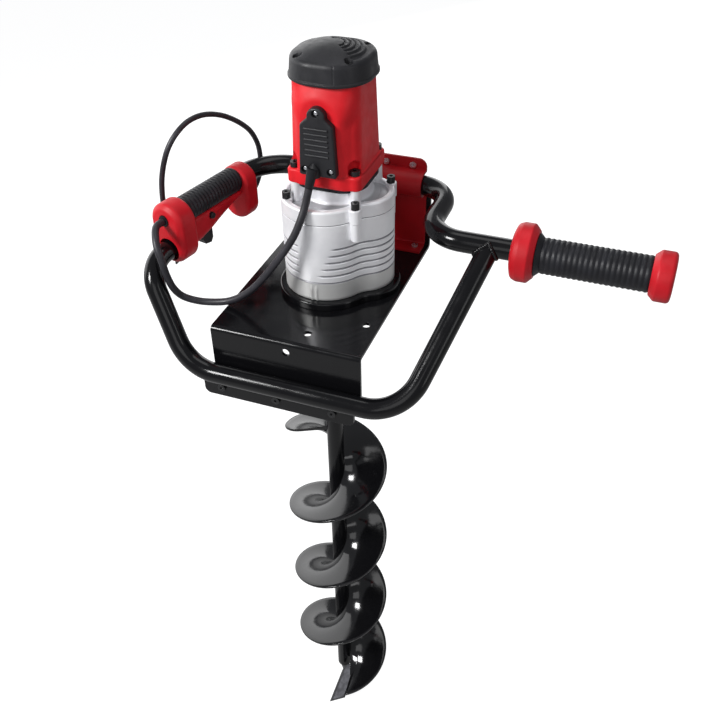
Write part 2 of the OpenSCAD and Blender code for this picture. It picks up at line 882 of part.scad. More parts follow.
// One bent tube: right handle, rear bar and left handle
module handle_tube() {
  color(gloss_black) bent_tube(handle_line, handle_bends);
}

// Front loop, coped to the right handle at its upper end
module loop_tube() {
  color(gloss_black) difference() {
    bent_tube(loop_line, loop_bends);
    translate([tee_x - 3 * tube_d, 0, 0]) rotate([0, 90, 0]) cylinder(d = tube_d + 0.8, h = 6 * tube_d);
  }
}

// Ribbed right grip
module right_grip() {
  flare = 6;
  color(soft_black) translate([right_grip_x, 0, 0]) rotate([0, 90, 0]) {
    translate([0, 0, flare]) ribbed_sleeve(tube_d / 2 + fit, right_grip_d / 2, 1.6, right_grip_len - flare,
      right_grip_ribs);
    rotate_extrude() polygon([
      [tube_d / 2 + fit, 0],
      [right_grip_d / 2 + 2, 0],
      [right_grip_d / 2 - 1.6, flare],
      [tube_d / 2 + fit, flare]
    ]);
  }
}

// Red guard inboard of the right grip
module right_guard() {
  color(paint_red) translate([right_guard_x, 0, 0]) rotate([0, 90, 0]) difference() {
    rotate_extrude() soft_half(right_guard_d / 2, right_guard_t, 5, 7);
    drum(tube_d / 2 + fit, -eps, right_guard_t + eps);
  }
}

// Red cap on the right tube end
module right_end_cap() {
  color(paint_red) translate([right_cap_x, 0, 0]) rotate([0, 90, 0]) difference() {
    rotate_extrude() soft_half(right_cap_d / 2, right_cap_t, 4, 7);
    drum(tube_d / 2 + fit, -eps, right_end_x - right_cap_x + 0.2);
  }
}

// Ribbed left grip, flat below where the switch housing seats
module left_grip() {
  color(soft_black) on_hand() difference() {
    translate([rear_guard_at, 0, 0]) rotate([0, 90, 0])
      ribbed_sleeve(tube_d / 2 + fit, left_grip_d / 2, 1.2, left_grip_len, left_grip_ribs);
    translate([rear_guard_at - eps, -left_grip_d, -tube_d / 2 - left_grip_d])
      cube([left_grip_len + 2 * eps, 2 * left_grip_d, left_grip_d]);
  }
}

// Red front guard: seats of the handle tube, the loop tube and the motor lead
module front_guard() {
  color(paint_red) on_hand() translate([front_guard_at, 0, 0]) rotate([0, 90, 0]) difference() {
    translate([guard_sink, 0, 0]) lobed_body(front_guard_r, guard_drop, front_guard_t, 4, 11);
    drum(tube_d / 2 + fit, -eps, core_end - front_guard_at + 0.2);
    drum(lead_d / 2 + 2.5, front_guard_t - 6, front_guard_t + eps);
    translate([loop_seat_drop, 0, 0])
      drum(tube_d / 2 + fit, front_guard_t - loop_seat - 0.2, front_guard_t + eps);
  }
}

// Red rear guard with the outlet of the mains lead
module rear_guard() {
  color(paint_red) on_hand() translate([rear_guard_at - rear_guard_t, 0, 0]) rotate([0, 90, 0]) difference() {
    translate([guard_sink, 0, 0]) lobed_body(rear_guard_r, guard_drop, rear_guard_t, 5, 4);
    drum(tube_d / 2 + tube_gap, -eps, rear_guard_t + eps);
    translate([-mains_route[0].z, 0, 0]) drum(mains_d / 2 + 3, -eps, 8);
  }
}

// Lower line of the switch housing at a station along the handle
function keel_z(s) = -18.8 - (s - rear_guard_at) * 0.362;

// Red switch housing under the left grip
module switch_housing() {
  top = -tube_d / 2 - fit;
  nose = front_guard_at - 19;
  color(paint_red) on_hand() difference() {
    translate([0, keel_half, 0]) rotate([90, 0, 0]) linear_extrude(2 * keel_half) polygon([
      [rear_guard_at, top],
      [front_guard_at, top],
      [front_guard_at, keel_z(nose) - 2],
      [nose, keel_z(nose)],
      [rear_guard_at, keel_z(rear_guard_at)]
    ]);
    // Pocket of the trigger, open below
    translate([trigger_at - trigger_len / 2 - slide_gap, -trigger_w / 2 - slide_gap, -80])
      cube([trigger_len + 2 * slide_gap, trigger_w + 2 * slide_gap, 80 + pocket_top]);
    // Bore of the lock button, open inward
    translate([lock_at, lock_bore, lock_z]) rotate([-90, 0, 0])
      cylinder(r = lock_r + slide_gap, h = keel_half - lock_bore + eps);
    // Pocket of the switch, open above
    translate([trigger_at - 37.5, -8, -24.5]) cube([24, 16, 24]);
  }
}

// Switch inside the housing
module switch_body() {
  color(matte_black) on_hand() difference() {
    translate([trigger_at - 37.4, -7.9, -24.4]) cube([23.8, 15.8, 11]);
    for (y = [-4.5, 4.5]) translate([trigger_at - 30, y - 1.5, -14.5]) cube([10, 3, 3]);
  }
}

// Trigger under the front of the left grip
module trigger() {
  x0 = trigger_at - trigger_len / 2;
  x1 = trigger_at + trigger_len / 2;
  color(matte_black) on_hand() translate([0, trigger_w / 2, 0]) rotate([90, 0, 0]) linear_extrude(trigger_w)
    polygon([
      [x0, trigger_top],
      [x1, trigger_top],
      [x1, trigger_top - 17],
      [x1 - 3, trigger_top - 23],
      [x0 + 4, trigger_top - 25],
      [x0, trigger_top - 19]
    ]);
}

// Coil from one height to another about Z
module coil(r, wire, z0, z1, turns) {
  n = turns * 10;
  line = [for (i = [0 : n]) [r * cos(36 * i), r * sin(36 * i), z0 + wire + (z1 - z0 - 2 * wire) * i / n]];
  sweep_round(line, wire, 6, [0, 0, 1]);
}

// Return spring of the trigger
module trigger_spring() {
  color(steel) on_hand() translate([trigger_at, 0, 0]) coil(3.6, 0.6, trigger_top, pocket_top, 5);
}

// Lock button on the inner side of the switch housing
module lock_button() {
  color(matte_black) on_hand() translate([lock_at, lock_in, lock_z]) rotate([-90, 0, 0])
    rotate_extrude() soft_half(lock_r, lock_out - lock_in, 0.4, 1.2);
}

// Return spring of the lock button
module lock_spring() {
  color(steel) on_hand() translate([lock_at, 0, lock_z]) rotate([-90, 0, 0])
    coil(2.8, 0.5, lock_bore, lock_in, 5);
}

// Rubber grommet where the motor lead enters the front guard
module lead_grommet() {
  color(matte_black) on_hand() translate([front_guard_at + front_guard_t - 6, 0, 0]) rotate([0, 90, 0])
    drum(lead_d / 2 + 2.5 - fit, 0, 7);
}

// Rubber sleeve where the mains lead leaves the rear guard
module mains_gland() {
  start = hand_point(rear_guard_at - rear_guard_t, 0, mains_route[0].z);
  way = unit(mains_route[0] - start);
  x = square_to(way);
  color(matte_black) {
    on_hand() translate([rear_guard_at - rear_guard_t, 0, mains_route[0].z]) rotate([0, 90, 0])
      drum(mains_d / 2 + 3 - fit, 0, 8);
    difference() {
      multmatrix(carry(x, cross(way, x), way, start - way * 4))
        cylinder(r1 = mains_d / 2 + 2.4, r2 = mains_d / 2 + 0.4, h = norm(mains_route[0] - start) + 3.2);
      on_hand() translate([rear_guard_at - rear_guard_t + 0.01, -20, -80]) cube([40, 40, 100]);
    }
  }
}

// Lead from the terminal cover to the left handle
module motor_lead() {
  color(matte_black) sweep_round(curve_line(motor_route, lead_steps), lead_d / 2, lead_sides, [0.5, -0.5, 0.7]);
}

// Rubber sleeve where the motor lead leaves the terminal cover
module motor_gland() {
  way = unit(motor_route[0] - gland_top);
  x = square_to(way);
  color(matte_black) multmatrix(carry(x, cross(way, x), way, gland_top))
    cylinder(r1 = lead_d / 2 + 2, r2 = lead_d / 2 + 0.4, h = norm(motor_route[0] - gland_top) - 0.8);
}

// Short lead that loops over the left handle and ends in the plug
module mains_lead() {
  color(matte_black) sweep_round(curve_line(mains_route, lead_steps), mains_d / 2, lead_sides, [1, 0.2, 0.1]);
}

// Plug with a tapered sleeve and two flat pins
module plug() {
  color(matte_black) translate(plug_at) {
    translate([0, 0, -24]) cylinder(r1 = mains_d / 2 + 4, r2 = mains_d / 2 + 0.6, h = 24);
    translate([0, 0, -58]) linear_extrude(34) {
      square([18, 20], center = true);
      square([24, 14], center = true);
      for (x = [-9, 9]) for (y = [-7, 7]) translate([x, y]) circle(r = 3);
    }
    for (x = [-6.35, 6.35]) translate([x - 0.75, -3.15, -76]) cube([1.5, 6.3, 18.5]);
  }
}

// Four places in a square about the motor axis
module at_corners(d) {
  for (x = [-d, d]) for (y = [-d, d]) translate([x, y, 0]) children();
}

// Arch of the housing's front boss in the X and Z plane
module boss_arch(half, z0, z1) {
  translate([-half, z0]) square([2 * half, z1 - half - z0]);
  translate([0, z1 - half]) circle(r = half);
}

// Front face of the housing's boss, seen from the motor axis
boss_face = 49.5;
// Angle of the cap's screws about the axis
cap_screw_d = motor_top_w / 2 - 10.6;

// Red motor housing: tapered shell, foot flange and front boss
module motor_housing() {
  low = motor_w / 2 - corner_r;
  high = motor_top_w / 2 - corner_r;
  color(paint_red) on_motor() difference() {
    union() {
      hull() {
        translate([0, 0, foot_z + 2]) at_corners(low) cylinder(r = corner_r, h = 1, $fn = 48);
        translate([0, 0, housing_top - 1]) at_corners(high) cylinder(r = corner_r, h = 1, $fn = 48);
      }
      translate([0, 0, foot_z]) linear_extrude(foot_h) {
        square([foot_w, foot_w - 16], center = true);
        square([foot_w - 16, foot_w], center = true);
        for (x = [-1, 1]) for (y = [-1, 1]) translate([x, y] * (foot_w / 2 - 8)) circle(r = 8);
      }
      translate([0, -motor_bore_r + 1, 0]) rotate([90, 0, 0]) linear_extrude(boss_face - motor_bore_r + 1)
        boss_arch(28, foot_z + 3, housing_top - 9);
    }
    drum(motor_bore_r, foot_z - eps, housing_top + eps);
    // Wells and holes of the foot screws
    at_corners(foot_screw) {
      drum(7.4, foot_top, foot_top + 16);
      drum(3.2, foot_z - eps, foot_top + eps);
    }
    // Holes of the cap screws
    at_corners(cap_screw_d) drum(2.15, housing_top - 22, housing_top + eps);
    // Holes of the terminal cover's screws
    for (p = cover_screw_at)
      translate([p.x, -boss_face - eps, p.y]) rotate([-90, 0, 0]) cylinder(r = 1.65, h = 9);
  }
}

// Black domed cap with screw wells and ring vents
module motor_cap() {
  wall = 3.2;
  top_r = cap_d / 2 - 3.5;
  rise = 9.5;
  dome_r = (top_r * top_r + rise * rise) / (2 * rise);
  color(matte_black) on_motor() difference() {
    translate([0, 0, housing_top]) rotate_extrude() intersection() {
      polygon([[0, 0], [cap_d / 2, 0], [top_r, cap_h - rise], [top_r, cap_h], [0, cap_h]]);
      translate([0, cap_h - dome_r]) circle(r = dome_r);
    }
    // Hollow with a bearing boss in the middle and four screw columns
    difference() {
      drum(top_r - 6, housing_top - eps, housing_top + cap_h - rise - wall);
      drum(up_brg[0] + 3, housing_top + 9, housing_top + cap_h);
      at_corners(cap_screw_d) drum(5.5, housing_top - 2 * eps, housing_top + cap_h);
    }
    drum(up_brg[0], housing_top + 9 - eps, housing_top + 9.2 + up_brg[1]);
    // Screw wells
    at_corners(cap_screw_d) {
      drum(3.9, housing_top + 20, housing_top + cap_h + eps);
      drum(2.15, housing_top - eps, housing_top + 21);
    }
    // Ring vents on the right of the dome
    for (r = [15, 21, 27, 33])
      translate([0, 0, housing_top + cap_h - r * r / (2 * dome_r) - 2]) rotate([0, 0, -35])
        rotate_extrude(angle = 150) translate([r - 1.2, 0]) square([2.4, 6]);
  }
}

// Long screws of the cap
module cap_screws() {
  color(dark_steel) on_motor() at_corners(cap_screw_d) translate([0, 0, housing_top + 20])
    bolt(3.6, 3, 2, 40, 2.5);
}

// Screws of the terminal cover from the motor axis: sideways, and height over the deck
cover_screw_at = [[0, housing_top - 26], [-15.5, foot_top + 9], [15.5, foot_top + 9]];
// Thickness of the terminal cover
cover_t = 8.5;

// Black ribbed cover over the terminals
module terminal_cover() {
  low = foot_top + 1.5;
  shoulder = housing_top - 37;
  color(matte_black) on_motor() difference() {
    union() {
      translate([0, -boss_face, 0]) rotate([90, 0, 0]) linear_extrude(cover_t) {
        polygon([[-22.5, low], [22.5, low], [19.5, shoulder], [10.5, shoulder + 8], [-10.5, shoulder + 8],
          [-19.5, shoulder]]);
        translate([0, housing_top - 30.5]) circle(r = 11);
      }
      // Ribs
      for (i = [0 : 5])
        translate([-14, -boss_face - cover_t - 1.2, low + 24 + 6.2 * i]) cube([28, 2, 2.4]);
      // Rounded outlet of the lead
      translate([-4, -boss_face - cover_t + 0.5, 0]) drum(7.5, low, low + 20);
    }
    // Hollow for the terminals, open to the boss
    translate([-13, -boss_face - cover_t + 3, low + 22]) cube([26, cover_t, 36]);
    // Screw holes and wells
    for (p = cover_screw_at)
      translate([p.x, -boss_face + eps, p.y]) rotate([90, 0, 0]) {
        cylinder(r = 1.8, h = cover_t + 2 * eps);
        translate([0, 0, cover_t - 2.5]) cylinder(r = 4.2, h = 6);
      }
    // Seat of the gland
    gland_seat();
  }
}

// Space of the gland in the terminal cover, in the frame of the motor axis
module gland_seat() {
  way = unit(motor_route[0] - gland_top);
  x = square_to(way);
  translate([-motor_at.x, -motor_at.y, -deck_z]) multmatrix(carry(x, cross(way, x), way, gland_top))
    cylinder(r1 = lead_d / 2 + 2 + fit, r2 = lead_d / 2 + 0.4 + fit, h = norm(motor_route[0] - gland_top));
}

// Bright screws of the terminal cover
module cover_screws() {
  color(steel) on_motor()
    for (p = cover_screw_at)
      translate([p.x, -boss_face - cover_t + 2.5 + eps, p.y]) rotate([90, 0, 0])
        bolt(3.4, 2.2, 1.6, cover_t - 2, 2);
}

// Black screws of the foot flange
module flange_screws() {
  color(dark_steel) on_motor() at_corners(foot_screw) translate([0, 0, foot_top]) bolt(5.5, 6, 3, foot_h + 12, 5);
}

// Black gasket between neck and foot flange
module motor_gasket() {
  color(matte_black) on_motor() translate([0, 0, neck_top]) linear_extrude(gasket_t) difference() {
    circle(r = neck_r + 2.5);
    circle(r = motor_bore_r);
    for (x = [-1, 1]) for (y = [-1, 1]) translate([x, y] * foot_screw) circle(r = post_r + 0.3);
  }
}

// Stator ring with two pole shoes
module stator() {
  color(steel) on_motor() translate([0, 0, core_z]) linear_extrude(core_len) {
    difference() {
      circle(r = motor_bore_r - fit);
      circle(r = 31);
    }
    for (a = [90, 270]) rotate([0, 0, a]) intersection() {
      difference() {
        circle(r = 31.5);
        circle(r = 24.6);
      }
      polygon([[0, 0], [50, -35], [50, 35]]);
    }
  }
}

// Field coils in the gaps between the pole shoes
module field_coils() {
  color(copper) on_motor()
    for (a = [0, 180])
      rotate([0, 0, a - 48]) translate([0, 0, core_z - 5]) rotate_extrude(angle = 96)
        translate([24.8, 0]) square([6, core_len + 10]);
}

// Armature: shaft, laminations, winding heads and commutator
module armature() {
  color(steel) on_motor() {
    rotate_extrude() polygon([
      [0, lay_gear_z - 5],
      [3.5, lay_gear_z - 5],
      [3.5, lay_gear_z + lay_gear_w + 6],
      [arm_r, lay_gear_z + lay_gear_w + 6],
      [arm_r, core_z - 9],
      [18, core_z - 7],
      [20, core_z],
      [23.6, core_z],
      [23.6, core_z + core_len],
      [20, core_z + core_len],
      [18, core_z + core_len + 6],
      [13, core_z + core_len + 7],
      [13, comm_z + 7],
      [8, comm_z + 7],
      [8, housing_top + 8],
      [4, housing_top + 8],
      [4, housing_top + 9 + up_brg[1]],
      [0, housing_top + 9 + up_brg[1]]
    ]);
  }
}

// Cooling fan on the armature
module fan() {
  z = foot_z + 8;
  color(matte_black) on_motor() difference() {
    union() {
      drum(33, z, z + 2.5);
      drum(10, z, z + 13);
      for (i = [0 : 8]) rotate([0, 0, 40 * i]) translate([9, -1, z]) cube([23.5, 2, 12]);
    }
    drum(arm_r + 0.02, z - eps, z + 20);
  }
}

// Brush tubes on both sides of the commutator
module brush_holders() {
  color(bronze) on_motor()
    for (a = [0, 180])
      rotate([0, 0, a]) difference() {
        translate([15, -5, comm_z - 6]) cube([21, 10, 12]);
        translate([14, -3.1, comm_z - 4.1]) cube([19, 6.2, 8.2]);
        difference() {
          drum(60, comm_z - 10, comm_z + 10);
          drum(motor_bore_r - fit, comm_z - 11, comm_z + 11);
        }
      }
}

// Carbon brushes
module brushes() {
  color(soft_black) on_motor()
    for (a = [0, 180])
      rotate([0, 0, a]) difference() {
        translate([12, -3, comm_z - 4]) cube([16, 6, 8]);
        drum(13.1, comm_z - 8, comm_z + 8);
      }
}

// Upper and lower bearings of the motor
module motor_bearings() {
  color(steel) on_motor() {
    translate([0, 0, low_brg_z]) bearing(arm_r, low_brg[0], low_brg[1]);
    translate([0, 0, housing_top + 9]) bearing(4, up_brg[0], up_brg[1]);
  }
}

// Pinion on the lower end of the armature shaft
module motor_pinion() {
  color(steel) on_motor() translate([0, 0, lay_gear_z - 4]) linear_extrude(lay_gear_w + 8) difference() {
    gear_outline(first_teeth[0], first_mod, first_a);
    circle(r = 3.52);
  }
}

// Cast cover of the gear case with the neck under the motor
module gear_cover() {
  color(bright_alu) difference() {
    union() {
      on_deck() translate([0, 0, case_top]) linear_extrude(cover_h) case_plan(0);
      on_deck() for (p = case_bolt_at) translate([p.x, p.y, 0]) drum(case_boss_r, case_top, cover_top);
      on_motor() {
        drum(neck_r, case_top + 4, neck_top);
        at_corners(foot_screw) drum(post_r, case_top + 5, foot_z);
        for (a = [45 : 90 : 315]) rotate([0, 0, a])
          translate([0, -5, cover_top - 3]) cube([foot_screw * sqrt(2), 10, neck_h + 3]);
      }
      // Boss of the output bush
      on_deck() drum(11.5, case_top - 13, case_top + 2);
    }
    // Recess around the foot of the neck
    on_deck() difference() {
      translate([0, 0, cover_top - 5]) linear_extrude(5 + eps) case_plan(-6);
      translate([motor_at.x, motor_at.y, 0]) drum(neck_r, 0, cover_top + 3 * eps);
      for (p = case_bolt_at) translate([p.x, p.y, 0]) drum(case_boss_r, 0, cover_top + 3 * eps);
      translate([motor_at.x, motor_at.y, 0]) at_corners(foot_screw) drum(post_r, 0, cover_top + 3 * eps);
      translate([motor_at.x, motor_at.y, 0]) for (a = [45 : 90 : 315]) rotate([0, 0, a])
        translate([0, -5, 0]) cube([foot_screw * sqrt(2), 10, cover_top + 3 * eps]);
    }
    // Neck: fan space above, bearing seat and shaft hole below
    on_motor() {
      drum(36, low_brg_z + low_brg[1] - 2, foot_z + eps);
      drum(low_brg[0], low_brg_z, neck_top);
      drum(arm_r + 1.2, case_top - 20, neck_top);
      at_corners(foot_screw) drum(3.05, foot_z - 13, foot_z + eps);
    }
    // Bush and layshaft bearing seats from below
    on_deck() drum(9, case_top - 13 - eps, case_top - 0.8);
    on_deck() translate([lay_at.x, lay_at.y, 0]) drum(lay_brg[0], case_top - eps, case_top + lay_brg[1] + 2.2);
    // Case bolts
    on_deck() for (p = case_bolt_at) translate([p.x, p.y, 0]) drum(3.3, case_top - eps, cover_top + eps);
    // Room about the heads of the case bolts
    on_deck() for (p = case_bolt_at) translate([p.x, p.y, 0])
      drum(case_head_r + slide_gap, cover_top + fit, cover_top + case_head_h + slide_gap);
  }
}

// Cast gear case with grooved sides
module gear_case() {
  color(bright_alu) on_deck() difference() {
    union() {
      translate([0, 0, ring_h]) linear_extrude(case_h) case_plan(0);
      for (p = case_bolt_at) translate([p.x, p.y, 0]) drum(case_rib_r, case_top - case_boss_h, case_top);
    }
    // Gear space
    difference() {
      translate([0, 0, ring_h + floor_t]) linear_extrude(case_h) case_plan(-case_wall);
      drum(out_brg[0] + 6, 0, out_brg_z + out_brg[1]);
      translate([lay_at.x, lay_at.y, 0]) drum(lay_brg[0] + 4, 0, lay_brg_z + lay_brg[1]);
      for (p = mount_bolt_at) translate([p.x, p.y, 0]) drum(mount_bolt_d / 2 + 3, 0, ring_h + 20);
      for (p = case_bolt_at) translate([p.x, p.y, 0]) drum(case_rib_r, case_top - case_boss_h, case_top + eps);
    }
    // Seats of seal, output bearing and layshaft bearing
    drum(17.5, ring_h - eps, ring_h + 8);
    drum(14, ring_h, out_brg_z + 1);
    drum(out_brg[0], out_brg_z, out_brg_z + out_brg[1] + eps);
    translate([lay_at.x, lay_at.y, 0]) drum(lay_brg[0], lay_brg_z, lay_brg_z + lay_brg[1] + eps);
    // Bolts
    for (p = mount_bolt_at) translate([p.x, p.y, 0]) drum(mount_bolt_d / 2 + fit, ring_h - eps, ring_h + 17);
    for (p = case_bolt_at) translate([p.x, p.y, 0]) drum(3.05, case_top - 19, case_top + eps);
    // Groove all round and five more that leave the front smooth
    translate([0, 0, ring_h + 24]) groove(1.6);
    for (i = [1 : 5]) translate([0, 0, ring_h + 24 + 9.1 * i]) difference() {
      groove(2.2);
      linear_extrude(12, center = true) polygon([[0, 0], [-50, -120], [45, -120]]);
    }
  }
}

// Groove round the case, one and a half millimetres deep
module groove(w) {
  linear_extrude(w) difference() {
    case_plan(2);
    case_plan(-1.3);
  }
}

// Black socket-head bolts of the gear case
module case_bolts() {
  color(dark_steel) on_deck() for (p = case_bolt_at) translate([p.x, p.y, cover_top])
    bolt(case_head_r, case_head_h, 3, cover_h + 16, 5);
}

// Layshaft with the second pinion cut on it
module layshaft() {
  color(steel) on_deck() translate([lay_at.x, lay_at.y, 0]) {
    drum(lay_r, lay_brg_z, out_gear_z - 4);
    translate([0, 0, out_gear_z - 5]) linear_extrude(out_gear_w + 10)
      gear_outline(second_teeth[0], second_mod, second_a);
    drum(lay_r, out_gear_z + out_gear_w + 4, case_top + lay_brg[1] + 1);
    drum(9, out_gear_z + out_gear_w + 5, lay_gear_z);
  }
}

// Large gear on the layshaft
module layshaft_gear() {
  color(steel) on_deck() translate([lay_at.x, lay_at.y, lay_gear_z]) linear_extrude(lay_gear_w) difference() {
    gear_outline(first_teeth[1], first_mod, first_a + 180 + 180 / first_teeth[1]);
    circle(r = lay_r + 0.02);
    for (a = [0 : 72 : 288]) rotate(a) translate([14.5, 0]) circle(r = 4);
  }
}

// Bearings at both ends of the layshaft
module layshaft_bearings() {
  color(steel) on_deck() translate([lay_at.x, lay_at.y, 0]) {
    translate([0, 0, lay_brg_z]) bearing(lay_r, lay_brg[0], lay_brg[1]);
    translate([0, 0, case_top + 1]) bearing(lay_r, lay_brg[0], lay_brg[1]);
  }
}

// Output gear
module output_gear() {
  color(steel) on_deck() translate([0, 0, out_gear_z]) linear_extrude(out_gear_w) difference() {
    gear_outline(second_teeth[1], second_mod, second_a + 180 + 180 / second_teeth[1]);
    circle(r = out_r + 0.02);
    for (a = [30 : 60 : 330]) rotate(a) translate([22.5, 0]) circle(r = 6);
  }
}

// Output shaft from the cover's bush down into the auger's socket
module output_shaft() {
  color(steel) on_deck() difference() {
    union() {
      drum(out_r, socket_z - socket_len + 5, out_gear_z + out_gear_w);
      drum(8, out_gear_z, case_top - 14);
      drum(lay_r, out_gear_z, case_top - 2);
    }
    translate([0, 0, pin_z]) rotate([0, 90, 0]) cylinder(r = pin_r + fit, h = 4 * out_r, center = true);
  }
}

// Large bearing of the output shaft
module output_bearing() {
  color(steel) on_deck() translate([0, 0, out_brg_z]) bearing(out_r, out_brg[0], out_brg[1]);
}

// Bronze bush at the top of the output shaft
module output_bush() {
  color(bronze) on_deck() difference() {
    drum(9 - fit, case_top - 13, case_top - 1);
    drum(lay_r + run_fit, case_top - 14, case_top);
  }
}

// Lip seal under the output bearing
module oil_seal() {
  color(matte_black) on_deck() difference() {
    drum(17.5 - fit, ring_h, ring_h + 8);
    drum(out_r + 0.08, ring_h - eps, ring_h + 9);
    drum(14, ring_h - eps, ring_h + 2);
  }
}

// Black plinth ring between case and chassis
module base_ring() {
  color(gloss_black) on_deck() difference() {
    union() {
      linear_extrude(ring_h * 0.6) case_plan(ring_rim);
      linear_extrude(ring_h * 0.85) case_plan(ring_rim - 0.8);
      linear_extrude(ring_h) case_plan(ring_rim - 2.5);
    }
    drum(shaft_hole_r, -eps, ring_h + eps);
    for (p = mount_bolt_at) translate([p.x, p.y, 0]) drum(mount_bolt_d / 2 + 0.3, -eps, ring_h + eps);
  }
}

// Bolts from below through chassis and ring into the case
module mount_bolts() {
  color(dark_steel) on_deck()
    for (p = mount_bolt_at)
      translate([p.x, p.y, -sheet_t]) mirror([0, 0, 1]) bolt(6.5, 5.5, mount_bolt_d / 2, sheet_t + ring_h + 15, 6);
}

// Auger bar with the socket for the output shaft
module auger_shaft() {
  color(gloss_black) on_deck() difference() {
    union() {
      drum(socket_r, socket_z - socket_len, socket_z);
      drum(bar_d / 2, bar_end, socket_z - socket_len + 4);
    }
    drum(out_r + fit, socket_z - socket_len + 4.8, socket_z + eps);
    translate([0, 0, pin_z]) rotate([0, 90, 0]) cylinder(r = pin_r + fit, h = 4 * socket_r, center = true);
    drum(6.05, bar_end - eps, bar_end + 12);
  }
}

// Height of the flight at an angle
function flight_z(a) = low_z + (a - low_a) * flight_pitch / 360;

// Angle at which the flight starts: it follows the back of the blade
function flight_start(r) =
  let (b = [blade_b.x, blade_b.y], d = [blade_c.x, blade_c.y] - b)
  let (qa = d * d, qb = b * d, qc = b * b - r * r, w = qb * qb - qa * qc)
  let (t = w < 0 ? 0 : max(0, min(1, (-qb + sqrt(w)) / qa)), p = b + d * t)
  atan2(p.y, p.x) + 1;

// Outer radius of the flight at an angle, rounded at the upper end
function flight_edge(a) =
  let (x = (top_a - a) * PI / 180 * flight_r)
  x >= tongue_r ? flight_r : flight_r - tongue_r + sqrt(max(0, tongue_r * tongue_r - pow(tongue_r - x, 2)));

// Screw flight welded to the bar
module auger_flight() {
  rows = 4;
  steps = concat([for (i = [0 : 118]) i / 118 * 0.984], [for (i = [1 : 7]) 0.984 + 0.016 * i / 7]);
  n = len(steps);
  w = rows + 1;
  grid = [
    for (side = [-1, 1])
      for (u = steps)
        for (j = [0 : rows])
          let (r0 = flight_in_r + (flight_r - flight_in_r) * j / rows, s = flight_start(r0))
          let (a = s + (top_a - s) * u)
          let (r = flight_in_r + (flight_edge(a) - flight_in_r) * j / rows)
          let (v = flight_t / 2 * sqrt(1 + pow(flight_pitch / (2 * PI * r), 2)))
          [r * cos(a), r * sin(a), flight_z(a) + side * v]
  ];
  up = n * w;
  skin = [
    for (i = [0 : n - 2])
      for (j = [0 : rows - 1])
        let (p = i * w + j, q = p + w)
        for (f = [[up + p, up + q, up + q + 1], [up + p, up + q + 1, up + p + 1],
                  [p, q + 1, q], [p, p + 1, q + 1]])
          f
  ];
  rims = [
    for (i = [0 : n - 2])
      let (p = i * w, q = p + w, e = p + rows, g = q + rows)
      for (f = [[e, up + e, up + g], [e, up + g, g], [p, q, up + q], [p, up + q, up + p]])
        f
  ];
  z = (n - 1) * w;
  caps = [
    for (j = [0 : rows - 1])
      for (f = [[j, up + j, up + j + 1], [j, up + j + 1, j + 1],
                [z + j, up + z + j + 1, up + z + j], [z + j, z + j + 1, up + z + j + 1]])
        f
  ];
  color(gloss_black) on_deck() polyhedron(grid, concat(skin, rims, caps), convexity = 12);
}

// Cutter blade at the lower end of the flight, bevelled along its edge
module cutter_blade() {
  x = unit(blade_c - blade_b);
  n = unit(cross(blade_d - blade_c, x));
  y = cross(n, x);
  long = norm(blade_c - blade_b);
  wide = (blade_d - blade_c) * y;
  skew = (blade_d - blade_c) * x;
  color(dark_steel) on_deck() multmatrix(carry(x, y, n, blade_b)) intersection() {
    translate([0, 0, -blade_t / 2]) linear_extrude(blade_t)
      polygon([[0, 0], [long, 0], [long + skew, wide], [skew, wide]]);
    translate([-long, 0, 0]) rotate([90, 0, 90]) linear_extrude(4 * long) polygon(wide > 0 ?
      [[-1, -blade_t], [wide, -blade_t], [wide, -blade_t / 2 + 0.6], [wide - 9, blade_t / 2 + 0.01], [-1, blade_t]] :
      [[1, -blade_t], [wide, -blade_t], [wide, -blade_t / 2 + 0.6], [wide + 9, blade_t / 2 + 0.01], [1, blade_t]]);
  }
}

// Pilot point screwed into the end of the bar
module pilot_point() {
  color(dark_steel) on_deck() difference() {
    union() {
      drum(6, bar_end - 1, bar_end + 11.8);
      translate([0, 0, bar_end - pilot_len]) cylinder(r1 = 1, r2 = 10, h = pilot_len);
    }
    for (s = [0, 180]) rotate([0, 0, s]) translate([4.5, -20, bar_end - pilot_len - 1])
      cube([20, 40, pilot_len * 0.7]);
  }
}

// Cross pin of the socket with its ring clip
module drive_pin() {
  len = 2 * socket_r + 8;
  color(steel) on_deck() translate([0, 0, pin_z]) rotate([0, 90, 0]) {
    drum(pin_r, -socket_r - 1, -socket_r + len);
    drum(6.5, -socket_r - 4, -socket_r - 0.2);
    translate([0, 0, socket_r + 2.5]) rotate_extrude() translate([pin_r + 0.9, 0]) circle(r = 1);
  }
}

chassis();
tube_clamp();
clamp_bolts();
clamp_foot_bolts();
front_bracket();
bracket_bolts();
handle_tube();
loop_tube();
right_grip();
right_guard();
right_end_cap();
left_grip();
front_guard();
rear_guard();
switch_housing();
switch_body();
trigger();
trigger_spring();
lock_button();
lock_spring();
lead_grommet();
mains_gland();
motor_lead();
motor_gland();
mains_lead();
plug();
motor_housing();
motor_cap();
cap_screws();
terminal_cover();
cover_screws();
flange_screws();
motor_gasket();
stator();
field_coils();
armature();
fan();
brush_holders();
brushes();
motor_bearings();
motor_pinion();
gear_cover();
gear_case();
case_bolts();
layshaft();
layshaft_gear();
layshaft_bearings();
output_gear();
output_shaft();
output_bearing();
output_bush();
oil_seal();
base_ring();
mount_bolts();
auger_shaft();
auger_flight();
cutter_blade();
pilot_point();
drive_pin();
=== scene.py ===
"""Looks of an electric earth auger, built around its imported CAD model.

Lengths in this file are millimetres in the frame of the part, unless a name says metres, and are
scaled when a mesh is made. The origin lies where the auger's axis crosses the plane of the hand
grips. DECK is the height of the chassis plate below that plane.
"""
import math

